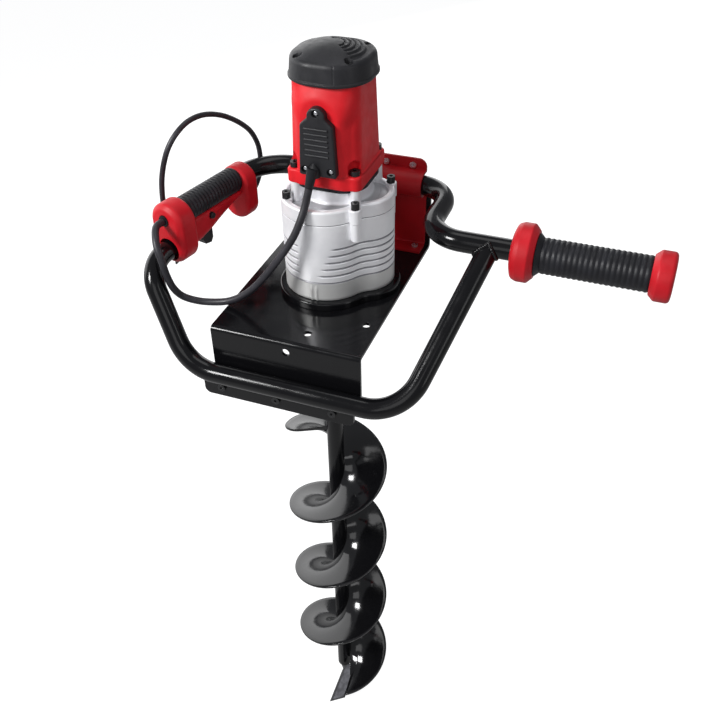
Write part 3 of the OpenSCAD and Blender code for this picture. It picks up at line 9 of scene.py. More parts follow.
import bpy
import numpy as np
from mathutils import Matrix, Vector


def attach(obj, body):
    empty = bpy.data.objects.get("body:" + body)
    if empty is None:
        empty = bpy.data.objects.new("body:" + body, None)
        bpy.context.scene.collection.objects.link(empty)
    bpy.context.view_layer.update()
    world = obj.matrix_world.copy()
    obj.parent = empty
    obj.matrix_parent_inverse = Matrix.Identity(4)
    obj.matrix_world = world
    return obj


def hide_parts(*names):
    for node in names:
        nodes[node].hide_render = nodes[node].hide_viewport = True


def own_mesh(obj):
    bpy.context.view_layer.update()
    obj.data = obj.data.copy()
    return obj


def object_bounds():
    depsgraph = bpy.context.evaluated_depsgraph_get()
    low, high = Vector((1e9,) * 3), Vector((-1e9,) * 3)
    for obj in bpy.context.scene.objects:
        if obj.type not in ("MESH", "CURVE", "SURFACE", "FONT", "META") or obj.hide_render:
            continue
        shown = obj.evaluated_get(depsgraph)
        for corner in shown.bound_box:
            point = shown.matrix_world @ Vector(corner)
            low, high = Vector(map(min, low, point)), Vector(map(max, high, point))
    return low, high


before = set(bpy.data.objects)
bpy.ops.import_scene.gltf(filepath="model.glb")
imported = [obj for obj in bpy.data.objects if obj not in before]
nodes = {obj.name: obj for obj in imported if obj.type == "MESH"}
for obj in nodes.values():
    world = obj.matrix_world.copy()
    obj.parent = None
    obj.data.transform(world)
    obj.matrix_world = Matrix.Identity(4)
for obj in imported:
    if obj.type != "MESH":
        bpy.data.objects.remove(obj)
cad_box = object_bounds()

MM = 0.001
TAU = 2 * math.pi
DECK = -95.0
CREASE = 40
# Radii of the frame tube and of the two leads
TUBE_R = 12.5
LEAD_R = 4.5
MAINS_R = 3.5
MOTOR_AT = np.array([9.0, 18.0, DECK])
LEFT_HANDLE_X = -166.5
SPLAY = math.radians(13)
UP = np.array([0.0, 0.0, 1.0])
RIGHT = np.array([1.0, 0.0, 0.0])
HAND_WAY = np.array([-math.sin(SPLAY), -math.cos(SPLAY), 0.0])
HAND_IN = np.array([math.cos(SPLAY), -math.sin(SPLAY), 0.0])

# Meshes from whole arrays


def unit(v):
    """A vector, or each row of an array of vectors, divided by its length."""
    v = np.asarray(v, float)
    return v / np.linalg.norm(v, axis=-1, keepdims=True)


def circle(count):
    """Even angles round a full turn, from zero."""
    return np.arange(count) / count * TAU


def around(a, x, y):
    """The cosine of each angle on one axis plus its sine on the other."""
    return np.cos(a)[:, None] * x + np.sin(a)[:, None] * y


def pairs(a, b):
    """Rows of two values, where a single number holds for every row."""
    return np.stack(np.broadcast_arrays(a, b), axis=1)


def far_root(a, b, c):
    """Larger root t of a t^2 + 2 b t + c = 0, held real."""
    return (-b + np.sqrt(np.maximum(b * b - a * c, 0))) / a


def put(name, data):
    """A new object of the scene from its data."""
    made = bpy.data.objects.new(name, data)
    bpy.context.scene.collection.objects.link(made)
    return made


def stand(thing, x, y, back, place):
    """Gives a camera or lamp its three axes, and its place in metres."""
    rows = np.stack([x, y, back], axis=1).tolist()
    thing.matrix_world = Matrix([(*row, p) for row, p in zip(rows, place)] + [(0, 0, 0, 1)])


def smooth(mesh, crease):
    """Shades every face smooth. Edges sharper than the crease angle in degrees stay crisp."""
    mesh.polygons.foreach_set("use_smooth", np.ones(len(mesh.polygons), bool))
    mesh.set_sharp_from_angle(angle=math.radians(crease))


def mesh_object(name, points, faces, crease):
    """A piece from points in millimetres and a list of face arrays, one array per corner count."""
    mesh = bpy.data.meshes.new(name)
    corners = np.concatenate([f.ravel() for f in faces]).astype(np.int32)
    sizes = np.concatenate([np.full(len(f), f.shape[1], np.int32) for f in faces])
    mesh.vertices.add(len(points))
    mesh.vertices.foreach_set("co", (np.asarray(points) * MM).astype(np.float32).ravel())
    mesh.loops.add(len(corners))
    mesh.loops.foreach_set("vertex_index", corners)
    mesh.polygons.add(len(sizes))
    mesh.polygons.foreach_set("loop_start", (np.cumsum(sizes) - sizes).astype(np.int32))
    mesh.update(calc_edges=True)
    mesh.validate()
    smooth(mesh, crease)
    return put(name, mesh)


def skin_faces(n, m, loop=False, start=0):
    """Quads between n rings of m points, with the last ring joined to the first where loop is set."""
    i, j = np.meshgrid(np.arange(n if loop else n - 1), np.arange(m), indexing="ij")
    i, j = i.ravel(), j.ravel()
    k, q = (i + 1) % n, (j + 1) % m
    return np.stack([i * m + j, i * m + q, k * m + q, k * m + j], axis=1) + start


def shells(name, parts, crease=CREASE):
    """One piece from closed shells, each an array of rings, shape (n, m, 3), that turn right-handed
    about the way they advance. The first and last ring are closed by fans to their middles."""
    points, quads, fans, start = [], [], [], 0
    for rings in parts:
        n, m = rings.shape[:2]
        j = np.arange(m)
        q = (j + 1) % m
        points += [rings.reshape(-1, 3), rings[0].mean(0)[None], rings[-1].mean(0)[None]]
        quads.append(skin_faces(n, m, start=start))
        last = (n - 1) * m
        fans.append(np.stack([np.full(m, n * m), q, j], axis=1) + start)
        fans.append(np.stack([np.full(m, n * m + 1), last + j, last + q], axis=1) + start)
        start += n * m + 2
    faces = [np.concatenate(quads), np.concatenate(fans)]
    return mesh_object(name, np.concatenate(points), faces, crease)


def ring_piece(name, rings, loop=False, crease=CREASE):
    """A closed piece from one array of rings, whose last ring joins the first where loop is set."""
    if not loop:
        return shells(name, [rings], crease)
    n, m = rings.shape[:2]
    return mesh_object(name, rings.reshape(-1, 3), [skin_faces(n, m, True)], crease)


def mark(piece, depth):
    """Stores how deep each ring point lies in a groove, from 0 to 1, as an attribute of the piece;
    points after the given ones get 0."""
    values = np.zeros(len(piece.data.vertices), np.float32)
    values[:depth.size] = depth.ravel()
    # The cast finish paints shade in the grooves and at the seam by this depth
    piece.data.attributes.new("groove", "FLOAT", "POINT").data.foreach_set("value", values)
    return piece


def carve(piece, *cutters):
    """The piece with closed ring shells cut out of it by an exact Boolean, kept as a plain mesh."""
    tools = [shells("cutter", [c]) for c in cutters]
    for tool in tools:
        cut = piece.modifiers.new("cut", "BOOLEAN")
        cut.operation, cut.object, cut.solver = "DIFFERENCE", tool, "EXACT"
    made = piece.evaluated_get(bpy.context.evaluated_depsgraph_get())
    mesh = bpy.data.meshes.new_from_object(made)
    piece.modifiers.clear()
    old, piece.data = piece.data, mesh
    bpy.data.meshes.remove(old)
    smooth(mesh, CREASE)
    for tool in tools:
        data = tool.data
        bpy.data.objects.remove(tool)
        bpy.data.meshes.remove(data)
    return piece


def slab(centre, x, y, z):
    """Rings of a box about a centre from its three half axes, which are right-handed."""
    corners = np.stack([-x - y, x - y, x + y, y - x])
    return np.asarray(centre) + np.stack([corners - z, corners + z])


def rod(centre, axis, radius, start, end, sides=48):
    """Rings of a round bar along an axis through centre."""
    return revolve([(radius, start), (radius, end)], centre, axis, sides)


def sweep(line, radius, sides, side):
    """Rings of a round section along a line of points: at each point two axes square to the line's
    direction are taken from the cross product with side, and the ring is centre plus radius times
    cosine on one and sine on the other."""
    way = unit(np.gradient(line, axis=0))
    x = unit(np.cross(np.asarray(side, float), way))
    y = np.cross(way, x)
    return line[:, None] + radius * around(circle(sides), x[:, None], y[:, None])


def revolve(profile, origin, axis, sides=96):
    """Rings of a profile of (radius, height) rows turned about an axis through origin."""
    profile = np.asarray(profile, float)
    axis = unit(axis)
    line = np.asarray(origin, float) + profile[:, 1:2] * axis
    x = unit(np.cross(axis, UP if abs(axis[2]) < 0.8 else RIGHT))
    return line[:, None] + profile[:, 0, None, None] * around(circle(sides), x, np.cross(axis, x))


def soft_profile(corners, radii, steps=6):
    """A profile through corner points, each inner corner replaced by an arc of its own radius: the
    arc starts and ends where a circle of that radius touches both sides of the corner."""
    corners = [np.asarray(c, float) for c in corners]
    rows = [corners[0][None]]
    for p, c, q, r in zip(corners, corners[1:], corners[2:], radii):
        d1, d2 = unit(c - p), unit(q - c)
        turn = math.acos(float(np.clip(d1 @ d2, -1, 1)))
        if r <= 0 or turn < 1e-3:
            rows.append(c[None])
            continue
        reach = r * math.tan(turn / 2)
        normal = unit(d2 - d1 * (d1 @ d2))
        a = np.linspace(0, turn, steps + 1)[:, None]
        rows.append(c - d1 * reach + r * (np.sin(a) * d1 + (1 - np.cos(a)) * normal))
    rows.append(corners[-1][None])
    return np.concatenate(rows)


def spread(line, step):
    """The same line with points about one step apart, by linear interpolation over its length."""
    run = np.concatenate([[0], np.cumsum(np.linalg.norm(np.diff(line, axis=0), axis=1))])
    at = np.linspace(0, run[-1], max(2, int(run[-1] / step) + 1))
    return np.stack([np.interp(at, run, line[:, k]) for k in range(line.shape[1])], axis=1)


def through(points, steps):
    """Smooth curve through route points: between two neighbours the Catmull-Rom cubic of the four
    nearest points, with the end points repeated."""
    p = np.asarray(points, float)
    a, b = np.concatenate([p[:1], p[:-2]]), p[:-1]
    c, d = p[1:], np.concatenate([p[2:], p[-1:]])
    u = (np.arange(steps) / steps)[None, :, None]
    a, b, c, d = (v[:, None, :] for v in (a, b, c, d))
    rows = 0.5 * (2 * b + (c - a) * u + (2 * a - 5 * b + 4 * c - d) * u**2
                  + (3 * b - a - 3 * c + d) * u**3)
    return np.concatenate([rows.reshape(-1, 3), p[-1:]])


def hand_point(s, w, z):
    """Point beside the left handle: forward, inward and up from its axis."""
    return np.array([LEFT_HANDLE_X, 0.0, z]) + s * HAND_WAY + w * HAND_IN


# Finishes


def feed(tree, socket, value):
    """Links a socket to another one, or gives it a number or a colour."""
    if hasattr(value, "is_linked"):
        tree.links.new(value, socket)
    else:
        socket.default_value = (*value, 1.0) if np.ndim(value) else value


def add_node(tree, kind, **inputs):
    """A new node with a link or a value on each input named; an underscore stands for a space."""
    made = tree.nodes.new(kind)
    for socket, value in inputs.items():
        feed(tree, made.inputs[socket.replace("_", " ")], value)
    return made


def calc(tree, operation, a, b):
    """Result of a math node on two values, each a socket or a number."""
    made = add_node(tree, "ShaderNodeMath")
    made.operation = operation
    feed(tree, made.inputs[0], a)
    feed(tree, made.inputs[1], b)
    return made.outputs[0]


class Finish:
    """A procedural material: one shader, with textures on Object coordinates in metres.

    Noise stays mostly between 0.3 and 0.7, so those are the ends of most spans.
    """

    def __init__(self, name, colour, metallic=0.0, specular=0.5):
        self.material = bpy.data.materials.new(name)
        self.material.use_nodes = True
        self.tree = self.material.node_tree
        self.shader = self.tree.nodes["Principled BSDF"].inputs
        self.feed("Base Color", colour)
        self.feed("Metallic", metallic)
        self.feed("Specular IOR Level", specular)
        self.place = self.node("ShaderNodeTexCoord").outputs
        self.normal = None

    def feed(self, socket, value):
        """Gives one of the shader's sockets a link or a value."""
        feed(self.tree, self.shader[socket], value)

    def node(self, kind, **inputs):
        return add_node(self.tree, kind, **inputs)

    def noise(self, scale, detail, stretch=None):
        """Noise on the object, with its scale per metre and a stretch of the three axes."""
        source = self.place["Object"]
        if stretch:
            mapping = self.node("ShaderNodeMapping", Vector=source)
            mapping.inputs["Scale"].default_value = stretch
            source = mapping.outputs["Vector"]
        return self.node("ShaderNodeTexNoise", Scale=scale, Detail=detail, Vector=source).outputs["Fac"]

    def tint(self, source, dark, pale, full=0.7):
        """Colour that goes smoothly from dark to pale as the source goes from 0.3 to full."""
        made = self.node("ShaderNodeValToRGB", Fac=source)
        made.color_ramp.interpolation = "EASE"
        for row, place, colour in zip(made.color_ramp.elements, (0.3, full), (dark, pale)):
            row.position = place
            row.color = (*colour, 1.0)
        self.feed("Base Color", made.outputs["Color"])
        return made.outputs["Color"]

    def range(self, source, low, high, new_low, new_high):
        """Linear map of one span of values to another, held at its ends."""
        made = self.node("ShaderNodeMapRange", Value=source, From_Min=low, From_Max=high,
                         To_Min=new_low, To_Max=new_high)
        return made.outputs["Result"]

    def upward(self, of):
        """The upward part of the object's place or of its normal."""
        return self.node("ShaderNodeSeparateXYZ", Vector=self.place[of]).outputs["Z"]

    def mix(self, factor, a, b):
        """Mix of two colours; each may be a socket or a colour."""
        made = self.node("ShaderNodeMix")
        made.data_type = "RGBA"
        for at, value in ((0, factor), (6, a), (7, b)):
            feed(self.tree, made.inputs[at], value)
        return made.outputs[2]

    def gloss(self, source, shiny, dull, low=0.3, high=0.7):
        """Roughness from shiny to dull as the source goes from low to high."""
        self.feed("Roughness", (shiny + dull) / 2)
        self.feed("Roughness", self.range(source, low, high, shiny, dull))

    def edges(self, radius):
        """Softens sharp edges in the shading by a radius in metres."""
        made = self.node("ShaderNodeBevel", Radius=radius)
        made.samples = 4
        self.normal = made.outputs["Normal"]
        self.feed("Normal", self.normal)

    def bump(self, source, strength, distance):
        """Small relief, its height in metres, on top of what the normal already has."""
        made = self.node("ShaderNodeBump", Strength=strength, Distance=distance, Height=source)
        if self.normal is not None:
            feed(self.tree, made.inputs["Normal"], self.normal)
        self.normal = made.outputs["Normal"]
        self.feed("Normal", self.normal)


def srgb(r, g, b):
    """Linear colour of a picture colour from 0 to 255."""
    c = np.array([r, g, b]) / 255
    return tuple(np.where(c <= 0.04045, c / 12.92, ((c + 0.055) / 1.055) ** 2.4).tolist())


def finish(name, colour, edge=None, tint=None, gloss=None, grain=None, **shader):
    """A finish of the usual kind: edges softened by a radius in metres, a colour between two, a
    roughness between two and a fine relief. Each of the last three begins with the scale of its noise
    per metre and its detail."""
    f = Finish(name, colour, **shader)
    if edge:
        f.edges(edge)
    for work, values in ((f.tint, tint), (f.gloss, gloss), (f.bump, grain)):
        if values:
            work(f.noise(*values[0]), *values[1:])
    return f.material


def bright_cast():
    """Tumbled bright aluminium casting, with a duller machined band round its foot.

    The band is chosen by the height over the chassis plate, below the lowest groove. The sunk floor
    of the cover has painted shade, a darker grey, and so have the grooves and the seam, where the piece
    stores their depth.
    """
    f = Finish("bright_cast", (0.86, 0.86, 0.89), metallic=0.4)
    height, plate = f.upward("Object"), DECK * MM
    band = f.range(height, plate + 0.0338, plate + 0.0342, 1.0, 0.0)
    cast = f.mix(band, f.tint(f.noise(24, 5), (0.84, 0.84, 0.87), (0.98, 0.98, 1.0)), (0.64, 0.64, 0.63))
    # Painted shade on the sunk floor, which looks up from below the crest of the rim
    crest = plate + 0.1285
    level = f.range(f.upward("Normal"), 0.6, 0.9, 0.0, 1.0)
    sunk = calc(f.tree, "MULTIPLY", level, f.range(height, crest, crest + 0.001, 1.0, 0.0))
    cast_with_sunk_shade = f.mix(sunk, cast, (0.42, 0.42, 0.44))
    # Painted shade, a darker grey, in the grooves and at the seam, by the depth that the piece stores
    depth = f.node("ShaderNodeAttribute")
    depth.attribute_name = "groove"
    groove = f.range(depth.outputs["Fac"], 0.1, 0.7, 0.0, 1.0)
    f.feed("Base Color", f.mix(groove, cast_with_sunk_shade, (0.26, 0.26, 0.28)))
    f.gloss(f.noise(46, 5, (1, 1, 0.3)), 0.32, 0.46)
    f.bump(f.noise(300, 3), 0.07, 0.0005)
    return f.material


def metal(name, colour, roughness):
    """Plain machined metal of the inner works, with uneven gloss."""
    return finish(name, colour, gloss=((300, 3), roughness * 0.8, roughness * 1.2), metallic=1.0)


# Gloss black stove enamel: faint orange peel and patches of duller gloss
COAT = finish("gloss_black_coat", srgb(13, 13, 15), 0.0009, specular=0.3,
              gloss=((38, 4), 0.1, 0.21, 0.35), grain=((620, 2), 0.06, 0.0004))
# Gloss black dip paint of the bit, with runs along it and a little dust in the gloss
BIT = finish("gloss_black_auger", srgb(13, 13, 15), 0.0008, specular=0.55,
             gloss=((55, 5), 0.08, 0.17, 0.3, 0.75), grain=((120, 3, (1, 1, 0.35)), 0.08, 0.0008))
# Red moulded plastic: fine spark grain, slightly uneven colour and gloss
RED = finish("red_moulding", srgb(214, 24, 34), 0.0012, specular=0.3,
             tint=((26, 3), srgb(204, 21, 31), srgb(222, 28, 38)),
             gloss=((90, 3), 0.42, 0.54), grain=((1700, 1), 0.07, 0.0003))
# Softer red plastic of the guards and end cap, a deeper red than the motor housing: the deeper red is
# painted shade
GUARD_RED_PAINTED_SHADE = finish("red_guard_moulding_painted_shade", srgb(192, 18, 32), 0.0012, specular=0.3,
                   tint=((32, 3), srgb(182, 16, 28), srgb(200, 21, 35)),
                   gloss=((110, 3), 0.4, 0.52), grain=((1500, 1), 0.1, 0.0003))
# Deep red enamel over pressed steel
CLAMP_RED = finish("red_clamp_paint", srgb(158, 9, 20), 0.0012, specular=0.3,
                   tint=((22, 3), srgb(148, 7, 17), srgb(168, 11, 22)),
                   gloss=((40, 4), 0.42, 0.56), grain=((520, 2), 0.07, 0.0004))
# Black rubber: matt, with a fine pebble and a dusty bloom
RUBBER = finish("black_rubber", srgb(25, 25, 29), specular=0.3,
                tint=((60, 4), srgb(20, 20, 24), srgb(30, 31, 36), 0.75),
                gloss=((220, 3), 0.4, 0.54), grain=((1300, 2), 0.16, 0.0004))
# Sheath of the leads: smooth dark rubber with fine marks
SHEATH = finish("black_lead_sheath", srgb(38, 37, 42), specular=0.45,
                tint=((45, 4), srgb(31, 30, 35), srgb(46, 45, 51), 0.75),
                gloss=((260, 3), 0.36, 0.5), grain=((900, 2), 0.1, 0.0003))
# Black moulded plastic with an eroded grain
BLACK = finish("black_moulding", srgb(25, 25, 28), 0.0009, specular=0.42,
               tint=((30, 3), srgb(21, 21, 24), srgb(29, 29, 33)),
               gloss=((120, 3), 0.4, 0.54), grain=((1500, 2), 0.14, 0.0004))
CAST = bright_cast()
# Bright zinc-plated steel
ZINC = finish("zinc_steel", (0.66, 0.67, 0.7), 0.0004, gloss=((400, 3), 0.2, 0.38), metallic=1.0)
# Black oxide on bolts, with a slight oily gloss
OXIDE = finish("black_oxide", srgb(27, 27, 29), 0.0005, gloss=((420, 3), 0.24, 0.42), metallic=0.2)
# Ground cutter steel, dark grey with scratches square to its edge
BLADE = finish("ground_steel", (0.07, 0.07, 0.08), 0.0004, metallic=1.0,
               tint=((90, 4), (0.05, 0.05, 0.055), (0.1, 0.1, 0.11)),
               gloss=((300, 4, (0.2, 1, 1)), 0.26, 0.42))
COPPER = metal("wound_copper", (0.72, 0.34, 0.18), 0.35)
BRONZE = metal("bush_bronze", (0.6, 0.42, 0.18), 0.35)
CARBON = metal("brush_carbon", (0.05, 0.05, 0.05), 0.6)
INNER_STEEL = metal("inner_steel", (0.5, 0.5, 0.52), 0.35)

NODE_FINISH = {
    COAT: "chassis front_bracket handle_tube loop_tube base_ring auger_shaft",
    BIT: "auger_flight",
    RED: "motor_housing switch_housing",
    GUARD_RED_PAINTED_SHADE: "right_guard right_end_cap front_guard rear_guard",
    CLAMP_RED: "tube_clamp",
    RUBBER: "right_grip left_grip mains_gland motor_gland lead_grommet motor_gasket oil_seal",
    SHEATH: "motor_lead mains_lead plug",
    BLACK: "motor_cap terminal_cover trigger lock_button switch_body fan",
    CAST: "gear_cover gear_case",
    ZINC: "clamp_bolts clamp_foot_bolts cover_screws drive_pin trigger_spring lock_spring",
    OXIDE: "bracket_bolts case_bolts flange_screws cap_screws mount_bolts",
    BLADE: "cutter_blade pilot_point",
    COPPER: "field_coils",
    BRONZE: "brush_holders output_bush",
    CARBON: "brushes",
    INNER_STEEL: "stator armature motor_bearings motor_pinion layshaft layshaft_gear layshaft_bearings "
                 "output_gear output_shaft output_bearing",
}
for material, names in NODE_FINISH.items():
    for name in names.split():
        nodes[name].data.materials.clear()
        nodes[name].data.materials.append(material)


def fit_out(piece, material, *stands_for, body="machine"):
    """Gives a new piece its finish and its body, and hides the CAD nodes that it stands for."""
    piece.data.materials.append(material)
    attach(piece, body)
    if stands_for:
        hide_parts(*stands_for)
    return piece


# Camera at the photograph's angle


def place_camera():
    """Camera from its place, its turn about the upright, its downward tilt and its roll."""
    turn, tilt, roll = (math.radians(v) for v in (21.23, 37.96, -1.09))
    across = np.array([math.cos(turn), math.sin(turn), 0])
    rise = np.array([-math.sin(turn) * math.sin(tilt), math.cos(turn) * math.sin(tilt), math.cos(tilt)])
    x = across * math.cos(roll) + rise * math.sin(roll)
    y = rise * math.cos(roll) - across * math.sin(roll)
    data = bpy.data.cameras.new("camera")
    data.lens, data.sensor_width = 45.64, 36.0
    camera = put("camera", data)
    stand(camera, x, y, np.cross(x, y), (0.3885, -0.8962, 0.5428))
    bpy.context.scene.camera = camera


place_camera()

# Leads

MOTOR_ROUTE = [
    (1, -48, 63), (-2, -53.5, 44.5), (-6, -61, 27), (-12.5, -66.5, 9.5), (-21.5, -71, -7),
    (-32, -74.5, -23), (-43, -77, -38.5), (-55, -79.5, -54), (-68, -81.5, -68.5), (-83, -83.5, -80.5),
    (-100, -85.5, -89), (-119, -88.5, -92.5), (-137, -94, -91), (-152, -102, -82.5), (-158.5, -109.5, -67.5),
    (-162.5, -113, -49.5), (-166.5, -112.5, -31), hand_point(106, 17, -14), hand_point(96.7, 7.8, -3.5),
    hand_point(86.5, 1, -0.3), hand_point(75.2, 0, 0),
]
MAINS_ROUTE = [
    (-148, 92, -35), (-148, 101, -33.7), (-148, 110.5, -29.5), (-148, 119.5, -21), (-148.3, 125.3, -8.5),
    (-149, 127.3, 7), (-150.5, 124, 24), (-154.5, 113.5, 44), (-161.5, 93, 64), (-169.5, 68, 80.5),
    (-178, 42, 90), (-185.5, 18, 90.5), (-192.5, -0.5, 82), (-200, -11.5, 67), (-206.5, -16.5, 48),
    (-212, -18, 27), (-215, -18, 8), (-216, -18, -8), (-216, -18, -20),
]


def lead(name, route, radius, side):
    """A lead swept as a round of even radius along the smooth curve through its route."""
    line = spread(through(route, 12), 2.0)
    piece = ring_piece(name, sweep(line, radius, 20, side))
    fit_out(piece, SHEATH, name.replace("_sheath", ""))


lead("motor_lead_sheath", MOTOR_ROUTE, LEAD_R, (0.5, -0.5, 0.7))
lead("mains_lead_sheath", MAINS_ROUTE, MAINS_R, (1, 0.2, 0.1))

# Frame tubes

HANDLE_LINE = [(399.8, 0, 0), (124, 0, 0), (124, 120.4, 0), (-138.7, 120.4, 0), hand_point(64.8, 0, 0)]
LOOP_LINE = [
    (203, 0, 0), (146.6, -145.6, -155), (-130, -145.6, -155),
    hand_point(112.4, 0, -40.5), hand_point(48.4, 0, -40.5),
]
LOOP_SIDE = (0, 0.75, -0.66)


def bent_tube(name, corners, radii, side, node):
    """A bent tube: its middle line has an arc at each corner, and a ring every three millimetres."""
    line = spread(soft_profile(corners, radii, 24), 3.0)
    fit_out(ring_piece(name, sweep(line, TUBE_R, 48, side)), COAT, node)


bent_tube("handle_tube_bent", HANDLE_LINE, (45, 45, 60), UP, "handle_tube")
bent_tube("front_loop_bent", LOOP_LINE, (60, 60, 41), LOOP_SIDE, "loop_tube")


def tee_weld():
    """Weld bead where the loop meets the handle: the saddle line on which both tube faces meet,
    carried as a round bead whose radius ripples along it."""
    way = unit(np.array(LOOP_LINE[1], float) - LOOP_LINE[0])
    x = unit(np.cross(LOOP_SIDE, way))
    a = circle(180)
    foot = np.array(LOOP_LINE[0], float) + TUBE_R * around(a, x, np.cross(way, x))
    # Distance along the loop at which a line on its face leaves the handle's round
    qa = way[1] ** 2 + way[2] ** 2
    qb = foot[:, 1] * way[1] + foot[:, 2] * way[2]
    qc = foot[:, 1] ** 2 + foot[:, 2] ** 2 - TUBE_R**2
    line = foot + far_root(qa, qb, qc)[:, None] * way
    step = unit(np.roll(line, -1, 0) - np.roll(line, 1, 0))
    out = unit(foot - LOOP_LINE[0])
    out = unit(out - (out * step).sum(1, keepdims=True) * step)
    across = np.cross(step, out)
    bead, ripple, ripples = 2.6, 0.28, 40
    r = bead + ripple * np.cos(a * ripples)
    rings = line[:, None] + r[:, None, None] * around(circle(14), out[:, None], across[:, None])
    fit_out(ring_piece("tee_weld_bead", rings, loop=True), COAT)


tee_weld()

# Grips and guards of the right handle


def ribbed(start, end, low, high, ribs):
    """Profile of a ribbed sleeve: between start and end the radius swells from low to high and back
    once for each rib, as a flattened cosine wave."""
    x = np.linspace(start, end, ribs * 12 + 1)
    wave = 0.5 - 0.5 * np.cos((x - start) / (end - start) * ribs * TAU)
    return np.stack([low + (high - low) * wave**0.7, x], axis=1)


def on_right(name, profile, sides, material, node):
    """A piece turned about the right handle from a profile of (radius, distance to the right) rows."""
    fit_out(ring_piece(name, revolve(profile, np.zeros(3), RIGHT, sides)), material, node)


def right_grip():
    """Grip: a flared collar at its inner end, then twenty round ribs."""
    start, end, bore = 256.9, 382.7, TUBE_R + 0.6
    flare = soft_profile([(bore, start), (25.2, start), (24.2, 258.4), (19.4, 263.5)], (0.8, 4), 6)
    profile = np.concatenate([flare, ribbed(263.6, end, 20.0, 20.8, 20), [(bore, end)]])
    on_right("right_grip_rubber", profile, 96, RUBBER, "right_grip")


def right_guard():
    """Guard: domed inner face, wide rim and a sloped back."""
    start, end, rim, bore = 229.0, 256.8, 34, TUBE_R + 0.2
    corners = [(bore, start), (22, start), (31.5, 232.2), (rim, 238.5), (rim, 250.5),
               (27.2, end), (bore, end)]
    profile = soft_profile(corners, (18, 6, 3, 3, 2), 8)
    on_right("right_guard_moulding", profile, 128, GUARD_RED_PAINTED_SHADE, "right_guard")


def right_end_cap():
    """End cap: sloped shoulder, rim, round edge and a low domed face."""
    start, end, rim = 382.8, 407.6, 28.5
    corners = [(TUBE_R + 0.2, start), (22.5, start), (rim, 389.5), (rim, 406.2), (20, 407.4), (0.3, end)]
    profile = soft_profile(corners, (2, 4, 4.5, 30), 8)
    on_right("right_end_cap_moulding", profile, 128, GUARD_RED_PAINTED_SHADE, "right_end_cap")


right_grip()
right_guard()
right_end_cap()

# Left handle

LEFT_SECTION = 72
LOBE_HIGH, LOBE_LOW = -5.5, -34.5
GRIP_START = -56.5
TRIGGER_S, LOCK_S, LOCK_Z = 7.3, 3.5, -20.5


def hand_rings(s, flat):
    """Rings about the left handle from stations forward and (inward, up) rows."""
    return hand_point(0, 0, 0) + s[:, None, None] * HAND_WAY + flat[..., :1] * HAND_IN + flat[..., 1:] * UP


def lobed_ring(r, inset):
    """Points round two joined lobes in the plane across the left handle, as (inward, up) rows: half a
    circle below the lower middle and half a circle above the upper, with every point moved in by inset."""
    a = np.linspace(0, math.pi, LEFT_SECTION)
    size = (r - np.asarray(inset, float))[:, None]
    up = np.stack([size * np.cos(a), LOBE_HIGH + size * np.sin(a)], axis=-1)
    down = np.stack([-size * np.cos(a), LOBE_LOW - size * np.sin(a)], axis=-1)
    return np.concatenate([up, down], axis=1)


def guard(name, node, r, profile, *cutters):
    """Guard of the left handle: rows of (inset, station), given from front to back, carried round the
    two-lobed section, which turns right-handed about the forward direction."""
    profile = np.asarray(profile, float)[::-1]
    rings = hand_rings(profile[:, 1], lobed_ring(r, profile[:, 0]))
    fit_out(carve(ring_piece(name, rings), *cutters), GUARD_RED_PAINTED_SHADE, node)


def front_guard():
    """Front guard: a low face, a wide round edge, a flank and a rolled back rim. Round recesses take
    the loop tube, with a gap about it, and the motor lead."""
    profile = soft_profile([(25, 73.4), (6, 72.6), (0, 67.0), (0, 43.5), (20, 43.5)], (7, 6, 4), 8)
    guard("front_guard_moulding", "front_guard", 25.5, profile,
          rod(hand_point(0, 1.2, -39.6), HAND_WAY, 15.2, 55, 85),
          rod(hand_point(0, 0, 0), HAND_WAY, 7.4, 63, 85))


def rear_guard():
    """Rear guard: both rims rolled, with the bore of the mains lead's sleeve behind."""
    profile = soft_profile([(20, -56.7), (0, -56.7), (0, -81.5), (20, -81.5)], (6, 6), 8)
    guard("rear_guard_moulding", "rear_guard", 22, profile,
          rod(hand_point(0, 0, -35), HAND_WAY, 6.6, -90, -74))


def switch_housing():
    """Housing under the left grip: along the handle its lower line falls and then runs level into the
    front guard. Each section is a flattened superellipse, |x|^4.5 + |z|^4.5 = 1 between its bounds, a
    little wider beside the lock button."""
    s = np.linspace(GRIP_START, 43.2, 90)
    bend, seat, power = 24.4, -12.55, 4.5
    low = np.where(s < bend, -18.8 - (s + 56.6) * 0.362, -48.12 - (s - bend) * 0.105)
    low = np.convolve(np.pad(low, 4, mode="edge"), np.ones(9) / 9, "valid")
    a = circle(96)
    x, z = (np.sign(v) * np.abs(v) ** (2 / power) for v in (np.cos(a), np.sin(a)))
    half = 12 + 1.0 * np.exp(-((s - LOCK_S) / 14) ** 2)
    mid, tall = (low + seat) / 2, (seat - low) / 2
    flat = np.stack([half[:, None] * x, mid[:, None] + tall[:, None] * z], axis=-1)
    piece = carve(ring_piece("switch_housing_moulding", hand_rings(s, flat)),
                  slab(hand_point(TRIGGER_S, 0, -53), HAND_WAY * 9.1, HAND_IN * 6.4, UP * 27),
                  rod(hand_point(LOCK_S, 0, LOCK_Z), HAND_IN, 4.5, -7, 20))
    fit_out(piece, GUARD_RED_PAINTED_SHADE, "switch_housing")


front_guard()
rear_guard()
switch_housing()


def left_grip():
    """Grip turned about the left handle with eighteen ribs, its underside kept above the seat of the
    switch housing by holding every point at that height."""
    end, bore = 43.3, TUBE_R + 0.3
    ribs = ribbed(GRIP_START, end, 15.7, 16.5, 18)
    profile = np.concatenate([[(bore, GRIP_START)], ribs, [(bore, end)]])
    rings = revolve(profile, hand_point(0, 0, 0), HAND_WAY, 96)
    rings[..., 2] = np.maximum(rings[..., 2], -TUBE_R - 0.02)
    fit_out(ring_piece("left_grip_rubber", rings), RUBBER, "left_grip")


left_grip()

# Motor

